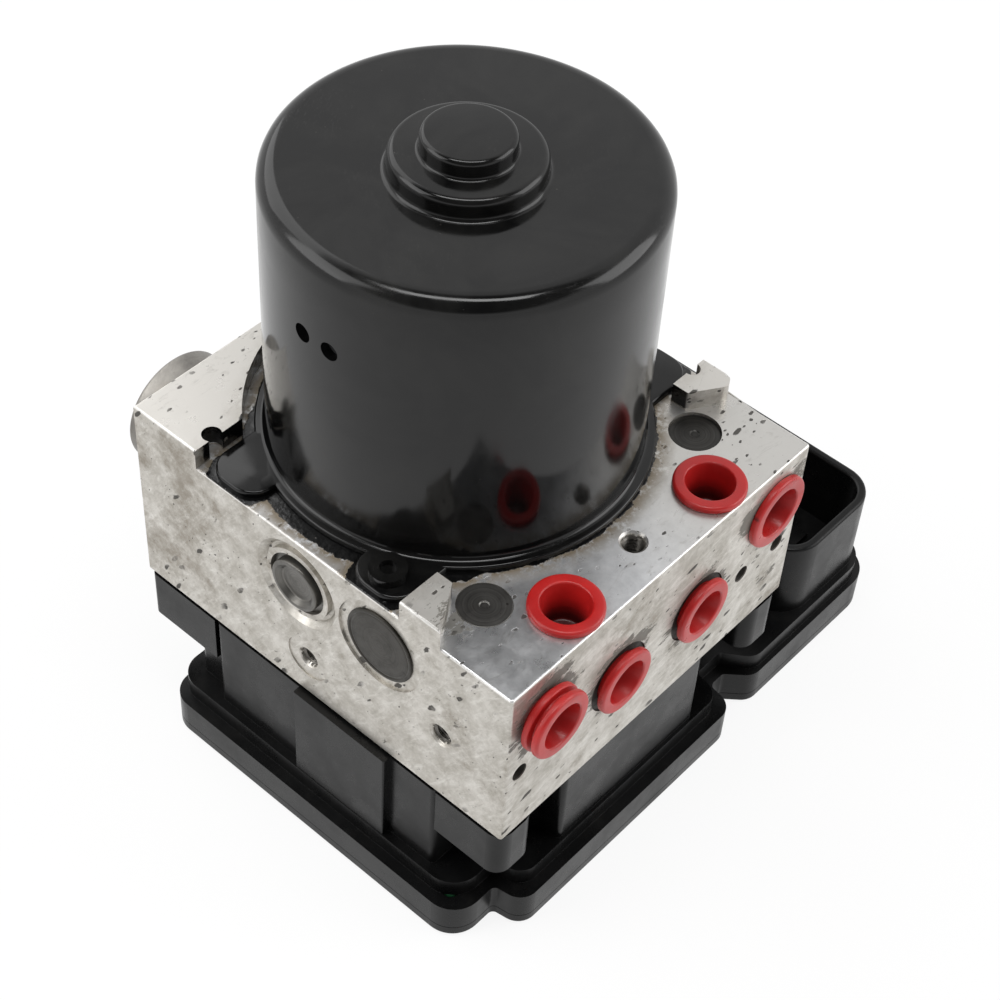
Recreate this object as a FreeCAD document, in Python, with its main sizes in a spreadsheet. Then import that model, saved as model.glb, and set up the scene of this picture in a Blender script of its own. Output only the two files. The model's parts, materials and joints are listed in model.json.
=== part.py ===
import FreeCAD, Part
import math
import os
import re

from FreeCAD import Placement, Rotation, Vector

# Anti-lock brake hydraulic unit: aluminium block, pump motor on top, control unit below.
# Millimetres. The origin is where the motor axis meets the resting plane, +X runs along the front
# (port) face, +Y runs from the front face to the back face, +Z points up along the motor axis.

SIZES = {
    # hydraulic block
    "block_width": 100, "block_depth": 111, "block_height": 48.6, "raised_height": 54,
    "axis_offset": 5.7, "edge_round": 0.8,
    "pocket_half": 30.2, "pocket_gap": 2.5, "notch_radius": 2.3, "notch_inset": 6.1, "notch_cut": 1.2,
    "remnant_width": 11.3, "remnant_long": 11.4, "remnant_short": 4.2, "remnant_round": 3,
    "rest_notch_radius": 2, "rest_notch_inset": 4.5,
    # running and seating clearances
    "running_fit": 0.05, "free_gap": 0.3,
    # ports and their plugs
    "deck_port_side": 26, "deck_port_setback": 8.3, "lower_port_x": 13.6, "lower_port_drop": 24.8,
    "outer_port_side": 10.7, "outer_port_drop": 13,
    "port_radius": 6.5, "large_port_radius": 7.2, "port_depth": 14,
    "spotface_margin": 0.5, "spotface_depth": 0.5,
    "plug_flange_radius": 8.5, "large_plug_radius": 9.3, "plug_flange_thick": 1.8, "plug_gap": 0.8,
    "plug_wall": 0.85, "plug_depth": 9, "plug_taper": 0.9, "plug_edge": 0.4,
    "pulled_plug_gap": 0.9, "pulled_plug_thick": 1.6, "pulled_plug_groove": 1.1,
    # tapped holes
    "tapped_radius": 2.5, "tapped_mouth": 3.25, "tapped_mouth_depth": 0.75, "tapped_depth": 12,
    "deck_hole_setback": 10, "side_hole_front": 18.4, "side_hole_front_level": 20.7,
    "side_hole_mid": 58.2, "side_hole_mid_level": 12, "side_spot_radius": 6, "side_spot_depth": 0.3,
    # closing discs
    "disc_side": 15, "disc_setback": 21, "disc_radius": 6.05, "disc_thick": 2.5, "disc_recess": 0.7,
    "disc_bore_depth": 8,
    # pump bores, caps, pistons
    "pump_drop": 13.8, "pump_ring": 11.8, "pump_groove": 10.2, "pump_groove_depth": 1.6, "pump_lip": 9.3,
    "pump_lip_drop": 0.3, "pump_cap_radius": 8, "pump_cap_thick": 8.1, "pump_cap_gap": 1.35,
    "pump_cap_gap_depth": 1, "pump_cap_rise": 1.1, "pump_cap_edge": 0.4,
    "pump_dish": 5.6, "pump_dish_floor": 4.4, "pump_dish_depth": 1.3,
    "chamber_radius": 6, "piston_radius": 3.5, "piston_collar": 5.2, "collar_thick": 2, "chamber_inner": 28,
    "eccentric_bore": 11.1, "eccentric_room": 8.8,
    # damper bores and caps
    "damper_setback": 36.6, "damper_drop": 13.6, "damper_cap_radius": 9.4, "damper_cap_thick": 3.2,
    "damper_ring": 11.8, "damper_ring_depth": 0.6, "damper_bore": 6, "damper_depth": 18,
    # accumulators in the back face
    "accu_side": 16.5, "accu_drop": 9.6, "accu_cap_radius": 14, "accu_cap_stand": 6, "accu_bore": 8,
    "accu_depth": 25, "accu_plug": 4, "accu_piston_long": 8, "accu_cap_edge": 1,
    # springs
    "pump_wire": 0.5, "pump_spring_radius": 3.9, "pump_turns": 4, "accu_wire": 0.6, "accu_spring_radius": 5.6,
    "accu_turns": 4, "brush_wire": 0.3, "brush_spring_radius": 1.9, "brush_turns": 5,
    # solenoid valves and coils
    "valve_pitch": 18, "valve_margin": 2, "valve_radius": 4.5, "valve_depth": 14, "valve_collar": 6,
    "valve_collar_thick": 2, "dome_radius": 4, "dome_long": 26, "dome_round": 1.5, "valve_edge": 0.8,
    "coil_radius": 8, "coil_height": 24, "carrier_thick": 2.2, "carrier_margin": 10, "post_wide": 4,
    # motor can and its flange
    "can_side": 8, "can_back": 7.8, "can_wall": 2.2, "can_height": 72.9, "can_round": 4, "can_dish": 1.8,
    "flange_lip": 2.5, "flange_sheet": 1.6, "flange_bend": 1.2,
    "ear_side": 6.4, "ear_y": 21, "ear_round": 6,
    "ear_overlap": 8, "ear_edge": 1, "ear_half": 7.6, "flange_edge": 0.5,
    "boss_radius": 16.3, "boss_height": 5, "boss_round": 1.6,
    "boss_foot": 1.2, "knob_foot": 0.8,
    "knob_radius": 9.9, "knob_height": 4.3, "knob_round": 1.2, "can_hole_radius": 2.15,
    "can_hole_level": 51.3, "can_hole_spread": 5.1, "can_hole_turn": 1.4,
    "screw_radius": 2.5, "screw_long": 7.5, "screw_head_radius": 4.2, "screw_head_high": 2,
    "screw_socket": 1.9, "screw_socket_depth": 1.6,
    # motor inside
    "seal_inset": 2, "seal_width": 1.8, "seal_depth": 1.2,
    "front_bearing_radius": 12.5, "front_bearing_high": 7, "front_bearing_seat": 5, "rear_bearing_high": 5,
    "shaft_radius": 5, "shaft_top_radius": 4, "stub_radius": 4, "stub_long": 2,
    "eccentricity": 1, "eccentric_radius": 7, "eccentric_high": 9,
    "eccentric_ring_wall": 2.3,
    "air_gap": 1.4, "core_low": 20, "core_high": 40, "slot_count": 12, "slot_wide": 6, "slot_deep": 8,
    "slot_cover": 1.5,
    "winding_rise": 6, "commutator_radius": 12, "commutator_high": 7, "commutator_low": 5.4,
    "magnet_thick": 6.4, "magnet_high": 46, "magnet_angle": 130,
    "end_plate_thick": 3, "brush_wide": 6, "brush_high": 5, "brush_room": 6, "holder_wall": 1.5,
    "holder_end": 8.8, "holder_gap": 2,
    "lead_radius": 3.5, "lead_pin": 1.2, "lead_room": 4.5,
    # control unit, from the resting plane up
    "cover_thick": 3, "rim_height": 7.5, "ledge_height": 5, "wall_height": 28.2, "gasket_thick": 0.8,
    "gasket_inset": 1, "rim_side": 5, "rim_front": 1, "rim_back": 8.8, "ledge_inset": 2.8,
    "ledge_back_inset": 0.3, "wing_ledge_inset": 1.3, "rim_round": 6.5, "wing_reach": 50.2, "wing_front": 1,
    "wing_back": 16.7, "wing_round": 9, "wing_lean": 5, "wing_notch": 5,
    "corner_cut_x": 13, "corner_cut_right": 16.5,
    "corner_cut_y": 8, "corner_lean": 1.3, "corner_swell": 7.5, "corner_root": 1.5, "lobe_round": 5,
    "collar_height": 13.8, "collar_wide": 12, "collar_front": 19, "collar_back": 22, "collar_round": 4,
    "collar_back_inset": 0.5, "collar_back_round": 1.5,
    "front_panel_inset": 2.7, "front_panel_half": 25, "side_panel_stand": 2, "side_panel_low": 32.8,
    "side_panel_high": 61.2, "side_panel_round": 0.5, "side_wall_back": 88.5, "recess_depth": 10,
    "rear_wall_inset": 13, "rear_wall_narrow": 3, "wall_round": 1.5, "inner_round": 1, "board_round": 2,
    "housing_wall": 3.5, "board_thick": 1.6, "board_gap": 0.4,
    "shroud_left": 13.5, "shroud_right": 48.9, "shroud_front": 3.9, "shroud_back": 82,
    "shroud_round": 9, "shroud_wall": 2.4, "shroud_drop": 5.5, "shroud_floor": 2.5,
    "header_wide": 16, "header_long": 54, "header_rise": 1.5,
    "pin_wide": 0.7, "pin_high": 12, "pin_rows": 3, "pin_columns": 12, "pin_pitch_x": 4.5, "pin_pitch_y": 3,
    "blade_wide": 4.8, "blade_thick": 0.9, "blade_offset": 22.6,
    "ecu_screw_side": 6, "ecu_screw_front": 7, "ecu_screw_back": 8, "ecu_screw_long": 18,
    "ecu_screw_head_radius": 4.4, "ecu_screw_head_high": 4, "counterbore_radius": 4.9, "counterbore_depth": 6,
}

# sizes that follow from the ones above
TIES = {
    "axis_setback": "block_depth / 2 + axis_offset",
    "back_reach": "block_depth - axis_setback",
    "deck_port_x": "block_width / 2 - deck_port_side",
    "outer_port_x": "block_width / 2 - outer_port_side",
    "disc_x": "block_width / 2 - disc_side",
    "accu_x": "block_width / 2 - accu_side",
    "ecu_screw_x": "block_width / 2 - ecu_screw_side",
    "ear_x": "block_width / 2 - ear_side",
    "ear_reach": "block_width / 2 - ear_edge",
    "lower_port_level": "block_height - lower_port_drop",
    "outer_port_level": "block_height - outer_port_drop",
    "pump_level": "block_height - pump_drop",
    "damper_level": "block_height - damper_drop",
    "accu_level": "block_height - accu_drop",
    "eccentric_floor": "pump_level - eccentric_room",
    "can_radius": "min(block_width / 2 - can_side; back_reach - can_back)",
    "flange_radius": "can_radius + flange_lip",
    "pocket_radius": "flange_radius + pocket_gap",
    "ear_root": "can_radius - ear_overlap",
    "seal_inner": "can_radius - seal_inset",
    "core_radius": "can_radius - can_wall - magnet_thick - air_gap",
    "holder_long": "can_radius - can_wall - commutator_radius - holder_gap - holder_end",
    "brush_long": "holder_long - brush_room",
    "lead_y": "min(back_reach - rear_wall_inset - housing_wall - lead_pin - free_gap; "
              "can_radius - can_wall - lead_radius - lead_room)",
    "carrier_half": "lead_y - lead_pin - 2 * free_gap",
    "valve_row": "carrier_half - valve_margin - coil_radius",
}

FIT = "running_fit"
BLOCK_BASE = "(cover_thick + rim_height + ledge_height + wall_height + gasket_thick)"
DECK = f"({BLOCK_BASE} + block_height)"
FLANGE_TOP = f"({DECK} + flange_sheet)"
HOUSING_TOP = "(cover_thick + rim_height + ledge_height + wall_height)"
LEDGE_TOP = "(cover_thick + rim_height + ledge_height)"
PUMP_Z = f"({BLOCK_BASE} + pump_level)"
HALF = "(block_width / 2)"
SHAFT_TOP = f"({DECK} + can_height - can_dish + boss_height + knob_height - can_wall - free_gap)"

TURN = {
    "z": Rotation(),
    "-z": Rotation(Vector(1, 0, 0), 180),
    "x": Rotation(Vector(0, 1, 0), 90),
    "-x": Rotation(Vector(0, 1, 0), -90),
    "y": Rotation(Vector(1, 0, 0), -90),
    "-y": Rotation(Vector(1, 0, 0), 90),
}

DOC = FreeCAD.newDocument("BrakeUnit")
NODES = []


def make_sheet():
    """Fill the spreadsheet with the driving sizes and the ties between them."""
    sheet = DOC.addObject("Spreadsheet::Sheet", "Sizes")
    for row, (alias, entry) in enumerate([*SIZES.items(), *TIES.items()], start=1):
        sheet.set(f"A{row}", alias)
        sheet.set(f"B{row}", f"={entry}")
        sheet.setAlias(f"B{row}", alias)
    DOC.recompute()
    return sheet


SHEET = make_sheet()


def size(alias):
    """Read one size from the spreadsheet."""
    return float(getattr(SHEET, alias))


def bind(item, **formulas):
    """Tie properties to formulas over the spreadsheet's names; at_x means Placement.Base.x."""
    for name, formula in formulas.items():
        path = {"at_x": "Placement.Base.x", "at_y": "Placement.Base.y", "at_z": "Placement.Base.z",
                "lift": "AttachmentOffset.Base.z"}.get(name, name)
        text = re.sub(r"[a-z][a-z_]+", lambda word: "Sizes." + word.group(0)
                      if word.group(0) in SIZES or word.group(0) in TIES else word.group(0), str(formula))
        item.setExpression(path, text)


def keep(item, label):
    """Name an object as a piece of the part."""
    item.Label = label
    NODES.append(item)
    return item


def place(item, at, axis="z"):
    """Turn an object's own Z to the axis and tie its place to formulas."""
    item.Placement = Placement(Vector(), TURN[axis])
    bind(item, at_x=at[0], at_y=at[1], at_z=at[2])
    return item


def rod(name, radius, length, at, axis="z"):
    item = DOC.addObject("Part::Cylinder", name)
    bind(item, Radius=radius, Height=length)
    return place(item, at, axis)


def brick(name, length, width, height, at):
    """A box whose place is the middle of its underside."""
    item = DOC.addObject("Part::Box", name)
    bind(item, Length=length, Width=width, Height=height)
    return place(item, (f"{at[0]} - ({length}) / 2", f"{at[1]} - ({width}) / 2", at[2]))


def fuse(name, items):
    joined = DOC.addObject("Part::MultiFuse", name)
    joined.Shapes = items
    return joined


def cut(name, base, tools):
    tool = tools[0] if len(tools) == 1 else fuse(name + "_tools", tools)
    result = DOC.addObject("Part::Cut", name)
    result.Base = base
    result.Tool = tool
    return result


def tube(name, outer, inner, length, at, axis="z"):
    hole = rod(name + "_inner", inner, length, at, axis)
    return cut(name, rod(name + "_outer", outer, length, at, axis), [hole])


def rounded(points):
    """Lines and arcs through (x, y, radius) corners."""
    count = len(points)
    starts, ends, arcs = [], [], []
    for index, (x, y, radius) in enumerate(points):
        here = Vector(x, y, 0)
        before = (Vector(*points[index - 1][:2], 0) - here).normalize()
        after = (Vector(*points[(index + 1) % count][:2], 0) - here).normalize()
        half = before.getAngle(after) / 2
        reach = radius / math.tan(half) if radius else 0
        starts.append(here + before * reach)
        ends.append(here + after * reach)
        if radius:
            centre = here + (before + after).normalize() * (radius / math.sin(half))
            arcs.append(Part.Arc(starts[-1], centre + (here - centre).normalize() * radius, ends[-1]))
    lines = [Part.LineSegment(ends[index], starts[(index + 1) % count]) for index in range(count)
             if (ends[index] - starts[(index + 1) % count]).Length > 1e-6]
    return lines + arcs


def draw(body, name, outlines, plane="XY_Plane", lift="0"):
    """A sketch of closed outlines on one of the body's own origin planes."""
    sketch = body.newObject("Sketcher::SketchObject", name)
    sketch.AttachmentSupport = [(part, "") for part in body.Origin.OriginFeatures if part.Role == plane]
    sketch.MapMode = "FlatFace"
    bind(sketch, lift=lift)
    for outline in outlines:
        sketch.addGeometry(outline, False)
    return sketch


def new_body(name, level="0"):
    body = DOC.addObject("PartDesign::Body", name)
    bind(body, at_z=level)
    return body


def pad(body, name, outlines, length, lift="0"):
    feature = body.newObject("PartDesign::Pad", name)
    feature.Profile = draw(body, name + "_sketch", outlines, lift=lift)
    bind(feature, Length=length)
    DOC.recompute()
    return feature


def pocket(body, name, outlines, length, lift):
    """Cut downwards from the lift level."""
    before = body.Shape.Volume
    feature = body.newObject("PartDesign::Pocket", name)
    feature.Profile = draw(body, name + "_sketch", outlines, lift=lift)
    bind(feature, Length=length)
    DOC.recompute()
    if body.Shape.Volume >= before:
        raise ValueError(name + " cut nothing")
    return feature


def turned(name, points, at, axis="z"):
    """A solid of revolution from (radius, height, rounding) corners about its own Z."""
    body = DOC.addObject("PartDesign::Body", name)
    sketch = draw(body, name + "_sketch", [rounded(points)], "XZ_Plane")
    feature = body.newObject("PartDesign::Revolution", name + "_turn")
    feature.Profile = sketch
    feature.ReferenceAxis = (sketch, ["V_Axis"])
    feature.Angle = 360
    place(body, at, axis)
    return body


def mirrored_pair(points):
    """The outline and its mirror image in X."""
    return [rounded(points), rounded([(-x, y, radius) for x, y, radius in reversed(points)])]


def block_blank():
    """The milled bar: base, raised rear level and the two remnants beside the motor."""
    half, back = size("block_width") / 2, size("back_reach")
    front, edge = -size("axis_setback"), size("edge_round")
    body = new_body("block_blank", BLOCK_BASE)
    corners = [(-half, front, edge), (half, front, edge), (half, back, edge), (-half, back, edge)]
    pad(body, "block_base", [rounded(corners)], "block_height")
    wall, reach = size("pocket_half"), size("pocket_radius")
    meet = math.sqrt(reach ** 2 - wall ** 2)
    outline = [Vector(meet, wall, 0), Vector(half, wall, 0), Vector(half, back, 0), Vector(-half, back, 0),
               Vector(-half, wall, 0), Vector(-meet, wall, 0)]
    rear = [Part.LineSegment(outline[index], outline[index + 1]) for index in range(5)]
    rear.append(Part.Arc(outline[5], Vector(0, reach, 0), outline[0]))
    pad(body, "rear_level", [rear], "raised_height", "0")
    inner, tip = half - size("remnant_width"), -wall - size("remnant_long")
    remnant = [(half, -wall, 0), (inner, -wall, 0), (inner, -wall - size("remnant_short"), 0),
               (half, tip, size("remnant_round"))]
    pad(body, "remnants", mirrored_pair(remnant), "raised_height", "0")
    return body


def tapped(name, at, axis):
    """A tapped hole with its countersunk mouth; axis points into the metal."""
    hole = rod(name, "tapped_radius", "tapped_depth", at, axis)
    mouth = DOC.addObject("Part::Cone", name + "_mouth")
    bind(mouth, Radius1="tapped_mouth", Radius2="tapped_radius", Height="tapped_mouth_depth")
    return [hole, place(mouth, at, axis)]


def port_places():
    """Name, place on its face, direction into the block, bore, flange and gap of each port's plug."""
    front = "-axis_setback"
    deck_y = "deck_port_setback - axis_setback"
    low, outer = f"{BLOCK_BASE} + lower_port_level", f"{BLOCK_BASE} + outer_port_level"
    small, large = ("port_radius", "plug_flange_radius"), ("large_port_radius", "large_plug_radius")
    return [
        ("port_plug_1", ("-deck_port_x", deck_y, DECK), "-z", *small, 0),
        ("port_plug_2", ("deck_port_x", deck_y, DECK), "-z", *small, 0),
        ("port_plug_3", ("-outer_port_x", front, outer), "y", *small, size("pulled_plug_gap")),
        ("port_plug_4", ("-lower_port_x", front, low), "y", *small, size("plug_gap")),
        ("port_plug_5", ("lower_port_x", front, low), "y", *small, size("plug_gap")),
        ("port_plug_6", ("outer_port_x", front, outer), "y", *large, 0),
    ]


def visible_bores():
    """Ports, tapped holes, closing disc seats and the spot faces round them."""
    tools = []
    for name, at, axis, bore, flange, gap in port_places():
        tools.append(rod(name + "_bore", bore, "port_depth", at, axis))
        if gap == size("plug_gap"):
            tools.append(rod(name + "_face", f"{flange} + spotface_margin", "spotface_depth", at, axis))
    tools += tapped("deck_hole", ("0", "deck_hole_setback - axis_setback", DECK), "-z")
    for name in ("front", "mid"):
        at = (f"-{HALF}", f"side_hole_{name} - axis_setback", f"{BLOCK_BASE} + side_hole_{name}_level")
        tools += tapped(f"side_hole_{name}_tap", at, "x")
    spot = (f"-{HALF}", "side_hole_mid - axis_setback", f"{BLOCK_BASE} + side_hole_mid_level")
    tools.append(rod("side_spot", "side_spot_radius", "side_spot_depth", spot, "x"))
    for side, sign in (("left", "-"), ("right", "")):
        at = (f"{sign}disc_x", "disc_setback - axis_setback", DECK)
        tools.append(rod(f"disc_seat_{side}", "disc_radius", "disc_bore_depth", at, "-z"))
    for name, x, y in (("notch_left", f"notch_inset - {HALF}", "pocket_half + notch_cut"),
                       ("notch_right", f"{HALF} - notch_inset", "pocket_half + notch_cut")):
        tools.append(rod(name, "notch_radius", "raised_height", (x, y, DECK)))
    rest = (f"{HALF} - rest_notch_inset", "-pocket_half", DECK)
    tools.append(rod("rest_notch", "rest_notch_radius", "raised_height", rest))
    return tools


def pump_mouth():
    """Half section of a pump bore's mouth: sloping ring, groove, lip and the seat of the cap."""
    deep, drop, seat = size("pump_groove_depth"), size("pump_lip_drop"), size("pump_cap_radius")
    end = drop + size("pump_cap_thick")
    return [(0, 0, 0), (size("pump_ring"), 0, 0), (size("pump_groove"), deep, 0), (size("pump_lip"), deep, 0),
            (size("pump_lip"), drop, 0), (seat, drop, 0), (seat, end, 0), (0, end, 0)]


def cross_bores():
    """Pump and damper bores from both sides, accumulator bores from the back."""
    tools = []
    for side, sign, inward in (("left", "-", "x"), ("right", "", "-x")):
        pump = (f"{sign}{HALF}", "0", PUMP_Z)
        tools.append(turned(f"pump_mouth_{side}", pump_mouth(), pump, inward))
        chamber_depth = f"{HALF} - chamber_inner"
        tools.append(rod(f"pump_chamber_{side}", "chamber_radius", chamber_depth, pump, inward))
        tools.append(rod(f"pump_sleeve_{side}", f"piston_radius + {FIT}", HALF, pump, inward))
        damper = (f"{sign}{HALF}", "damper_setback - axis_setback", f"{BLOCK_BASE} + damper_level")
        tools.append(rod(f"damper_ring_{side}", "damper_ring", "damper_ring_depth", damper, inward))
        tools.append(rod(f"damper_seat_{side}", "damper_cap_radius", "damper_cap_thick", damper, inward))
        tools.append(rod(f"damper_bore_{side}", "damper_bore", "damper_depth", damper, inward))
        accu = (f"{sign}accu_x", "back_reach", f"{BLOCK_BASE} + accu_level")
        tools.append(rod(f"accu_bore_{side}", "accu_bore", "accu_depth", accu, "-y"))
    return tools


def motor_bores():
    """Eccentric chamber, bearing seat, seal groove, motor lead and the motor's screw holes."""
    floor = f"{BLOCK_BASE} + eccentric_floor"
    depth = "block_height - eccentric_floor"
    seat, groove = f"{DECK} - front_bearing_seat", f"{DECK} - seal_depth"
    tools = [
        rod("eccentric_chamber", "eccentric_bore", depth, ("0", "0", floor)),
        rod("bearing_seat", "front_bearing_radius", "front_bearing_seat", ("0", "0", seat)),
        tube("seal_groove", "seal_inner + seal_width", "seal_inner", "seal_depth", ("0", "0", groove)),
        rod("lead_bore", "lead_radius", "block_height", ("0", "lead_y", BLOCK_BASE)),
    ]
    for index, (x, y) in enumerate(motor_screw_places()):
        length = "screw_long - flange_sheet + free_gap"
        tools.append(rod(f"ear_tap_{index}", "screw_radius", length, (x, y, DECK), "-z"))
    return tools


def underside_bores():
    """Valve seats and the screw holes for the control unit."""
    tools = []
    for index, (x, y) in enumerate(valve_places(), start=1):
        tools.append(rod(f"valve_seat_{index}", "valve_radius", "valve_depth", (x, y, BLOCK_BASE)))
        tools.append(rod(f"valve_lip_{index}", "valve_collar", "valve_collar_thick", (x, y, BLOCK_BASE)))
    for index, (x, y) in enumerate(ecu_screw_places()):
        length = "ecu_screw_long - collar_height + counterbore_depth - gasket_thick + free_gap"
        tools.append(rod(f"ecu_tap_{index}", "screw_radius", length, (x, y, BLOCK_BASE)))
    return tools


def motor_screw_places():
    """The two screwed ears, front left and rear right."""
    return [("-ear_x", "-ear_y"), ("ear_x", "ear_y")]


def valve_places():
    steps = ("-1.5", "-0.5", "0.5", "1.5")
    return [(f"{step} * valve_pitch", f"{row}valve_row") for row in ("-", "") for step in steps]


def ecu_screw_places():
    front = "ecu_screw_front - axis_setback"
    back = "back_reach - ecu_screw_back"
    return [(f"{side}ecu_screw_x", y) for side in ("-", "") for y in (front, back)]


def hydraulic_block():
    tools = visible_bores() + cross_bores() + motor_bores() + underside_bores()
    keep(cut("block_cut", block_blank(), tools), "hydraulic_block")


def port_plugs():
    """Hollow push-in plugs; the third is a double-flanged one that stands out, the sixth is larger."""
    depth, wall, taper, edge = size("plug_depth"), size("plug_wall"), size("plug_taper"), size("plug_edge")
    for name, at, axis, bore, flange, gap in port_places():
        body, rim, back = size(bore) - size("running_fit"), size(flange), gap
        points = [(0, -depth, 0), (body - taper, -depth, edge), (body, back, 0)]
        if name == "port_plug_3":
            ledge = back + size("pulled_plug_thick")
            back = ledge + size("pulled_plug_groove")
            points += [(rim, gap, edge), (rim, ledge, edge), (body, ledge, 0), (body, back, 0)]
        face = back + size("plug_flange_thick")
        points += [(rim, back, edge), (rim, face, edge), (body - wall, face, edge),
                   (body - taper - wall, wall - depth, edge), (0, wall - depth, 0)]
        keep(turned(name, points, at, {"-z": "z", "y": "-y"}[axis]), name)


def closing_discs():
    for side, sign, recess in (("left", "-", "0"), ("right", "", "disc_recess")):
        at = (f"{sign}disc_x", "disc_setback - axis_setback", f"{DECK} - {recess}")
        keep(rod(f"closing_disc_{side}_rod", "disc_radius", "disc_thick", at, "-z"), f"closing_disc_{side}")


def side_caps():
    """Pump caps with a dished head that stands in a gap, and flat damper caps, on both side faces."""
    radius, thick, gap = size("pump_cap_radius"), size("pump_cap_thick"), size("pump_cap_gap_depth")
    head, rise, edge = radius - size("pump_cap_gap"), size("pump_cap_rise"), size("pump_cap_edge")
    floor = rise - size("pump_dish_depth")
    points = [(0, -thick, 0), (radius, -thick, 0), (radius, -gap, 0), (head, -gap, 0), (head, rise, edge),
              (size("pump_dish"), rise, 0), (size("pump_dish_floor"), floor, 0), (0, floor, 0)]
    for side, sign, inward, outward in (("left", "-", "x", "-x"), ("right", "", "-x", "x")):
        at = (f"{sign}({HALF} - pump_lip_drop)", "0", PUMP_Z)
        keep(turned(f"pump_cap_{side}_body", points, at, outward), f"pump_cap_{side}")
        at = (f"{sign}{HALF}", "damper_setback - axis_setback", f"{BLOCK_BASE} + damper_level")
        cap = rod(f"damper_cap_{side}_rod", "damper_cap_radius", "damper_cap_thick", at, inward)
        keep(cap, f"damper_cap_{side}")


def spring(name, wire, radius, turns, length, at, axis):
    """A compression spring of round wire between its seats, made of half turns that lean by turns."""
    thick, reach = size(wire), size(radius)
    halves = int(2 * size(turns))
    rise = (length - 2 * thick) / halves
    lean = math.degrees(math.atan2(rise, 2 * reach))
    arc = math.hypot(rise, 2 * reach) / 2
    coils = []
    for index in range(halves):
        coil = Part.makeTorus(arc, thick, Vector(), Vector(0, 0, 1), 0, 360, 180)
        coil.rotate(Vector(), Vector(0, 1, 0), lean)
        coil.rotate(Vector(), Vector(0, 0, 1), 180 * index)
        coil.translate(Vector(0, 0, thick + rise * (index + 0.5)))
        coils.append(coil)
    item = DOC.addObject("Part::Feature", name)
    item.Shape = coils[0].multiFuse(coils[1:])
    place(item, at, axis)
    keep(item, name)


def pump_pistons():
    """Two opposed pistons that the eccentric ring drives outwards against their springs."""
    envelope = "(eccentric_radius + running_fit + eccentric_ring_wall + eccentricity)"
    inner = f"({envelope} + free_gap)"
    seat = "(chamber_inner + free_gap)"
    room = (size("block_width") / 2 - size("pump_lip_drop") - size("pump_cap_thick")
            - size("chamber_inner") - size("free_gap") - size("collar_thick"))
    for side, sign, outward in (("left", "-", "-x"), ("right", "", "x")):
        tip, shoulder = (f"{sign}{inner}", "0", PUMP_Z), (f"{sign}{seat}", "0", PUMP_Z)
        stem = rod(f"piston_stem_{side}", "piston_radius", f"{seat} - {inner}", tip, outward)
        collar = rod(f"piston_collar_{side}", "piston_collar", "collar_thick", shoulder, outward)
        keep(fuse(f"pump_piston_{side}_body", [stem, collar]), f"pump_piston_{side}")
        at = (f"{sign}({seat} + collar_thick)", "0", PUMP_Z)
        spring(f"pump_spring_{side}", "pump_wire", "pump_spring_radius", "pump_turns", room, at, outward)


def accumulators():
    """Low pressure accumulators: cap, piston and spring in each of two bores in the back face."""
    room = size("accu_depth") - size("accu_plug") - size("accu_piston_long") - size("free_gap")
    for side, sign in (("left", "-"), ("right", "")):
        x, z = f"{sign}accu_x", f"{BLOCK_BASE} + accu_level"
        disc, plug = size("accu_cap_radius"), size("accu_bore") - size("running_fit")
        stand, inset = size("accu_cap_stand"), size("accu_plug")
        edge = size("accu_cap_edge")
        points = [(0, -inset, 0), (plug, -inset, 0), (plug, 0, 0), (disc, 0, 0), (disc, stand, edge),
                  (0, stand, 0)]
        cap = turned(f"accumulator_cap_{side}_body", points, (x, "back_reach", z), "y")
        keep(cap, f"accumulator_cap_{side}")
        low = "back_reach - accu_depth + free_gap"
        label = f"accumulator_piston_{side}"
        keep(rod(label + "_rod", f"accu_bore - {FIT}", "accu_piston_long", (x, low, z), "y"), label)
        at = (x, f"{low} + accu_piston_long", z)
        spring(f"accumulator_spring_{side}", "accu_wire", "accu_spring_radius", "accu_turns", room, at, "y")


def valves():
    """Eight solenoid valve cartridges, pressed into the underside, their domes pointing down."""
    radius, depth, collar = size("valve_radius"), size("valve_depth"), size("valve_collar")
    thick, dome, drop = size("valve_collar_thick"), size("dome_radius"), size("dome_long")
    points = [(0, -drop, 0), (dome, -drop, size("dome_round")), (dome, 0, 0), (collar, 0, 0),
              (collar, thick, 0), (radius, thick, 0), (radius, depth, size("valve_edge")), (0, depth, 0)]
    for index, (x, y) in enumerate(valve_places(), start=1):
        keep(turned(f"valve_{index}_body", points, (x, y, BLOCK_BASE)), f"valve_{index}")


def coil_carrier():
    """Eight coils moulded on one carrier plate, round the valve domes."""
    level = f"({HOUSING_TOP} - coil_height - 2 * free_gap)"
    half_x = "(1.5 * valve_pitch + carrier_margin)"
    under = f"{level} - carrier_thick"
    solids = [brick("carrier_plate", f"2 * {half_x}", "2 * carrier_half", "carrier_thick", ("0", "0", under))]
    holes = []
    for index, (x, y) in enumerate(valve_places(), start=1):
        solids.append(rod(f"coil_{index}", "coil_radius", "coil_height", (x, y, level)))
        bore = rod(f"coil_hole_{index}", f"dome_radius + {FIT}", "coil_height + carrier_thick", (x, y, under))
        holes.append(bore)
    board_top = "(cover_thick + rim_height)"
    high = f"{under} - {board_top}"
    for index, (sx, sy) in enumerate((("-", "-"), ("", "-"), ("", ""), ("-", ""))):
        corner = (f"{sx}({half_x} - post_wide / 2)", f"{sy}(carrier_half - post_wide / 2)", board_top)
        solids.append(brick(f"carrier_post_{index}", "post_wide", "post_wide", high, corner))
    keep(cut("coil_carrier_cut", fuse("coil_carrier_solid", solids), holes), "coil_carrier")


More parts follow.
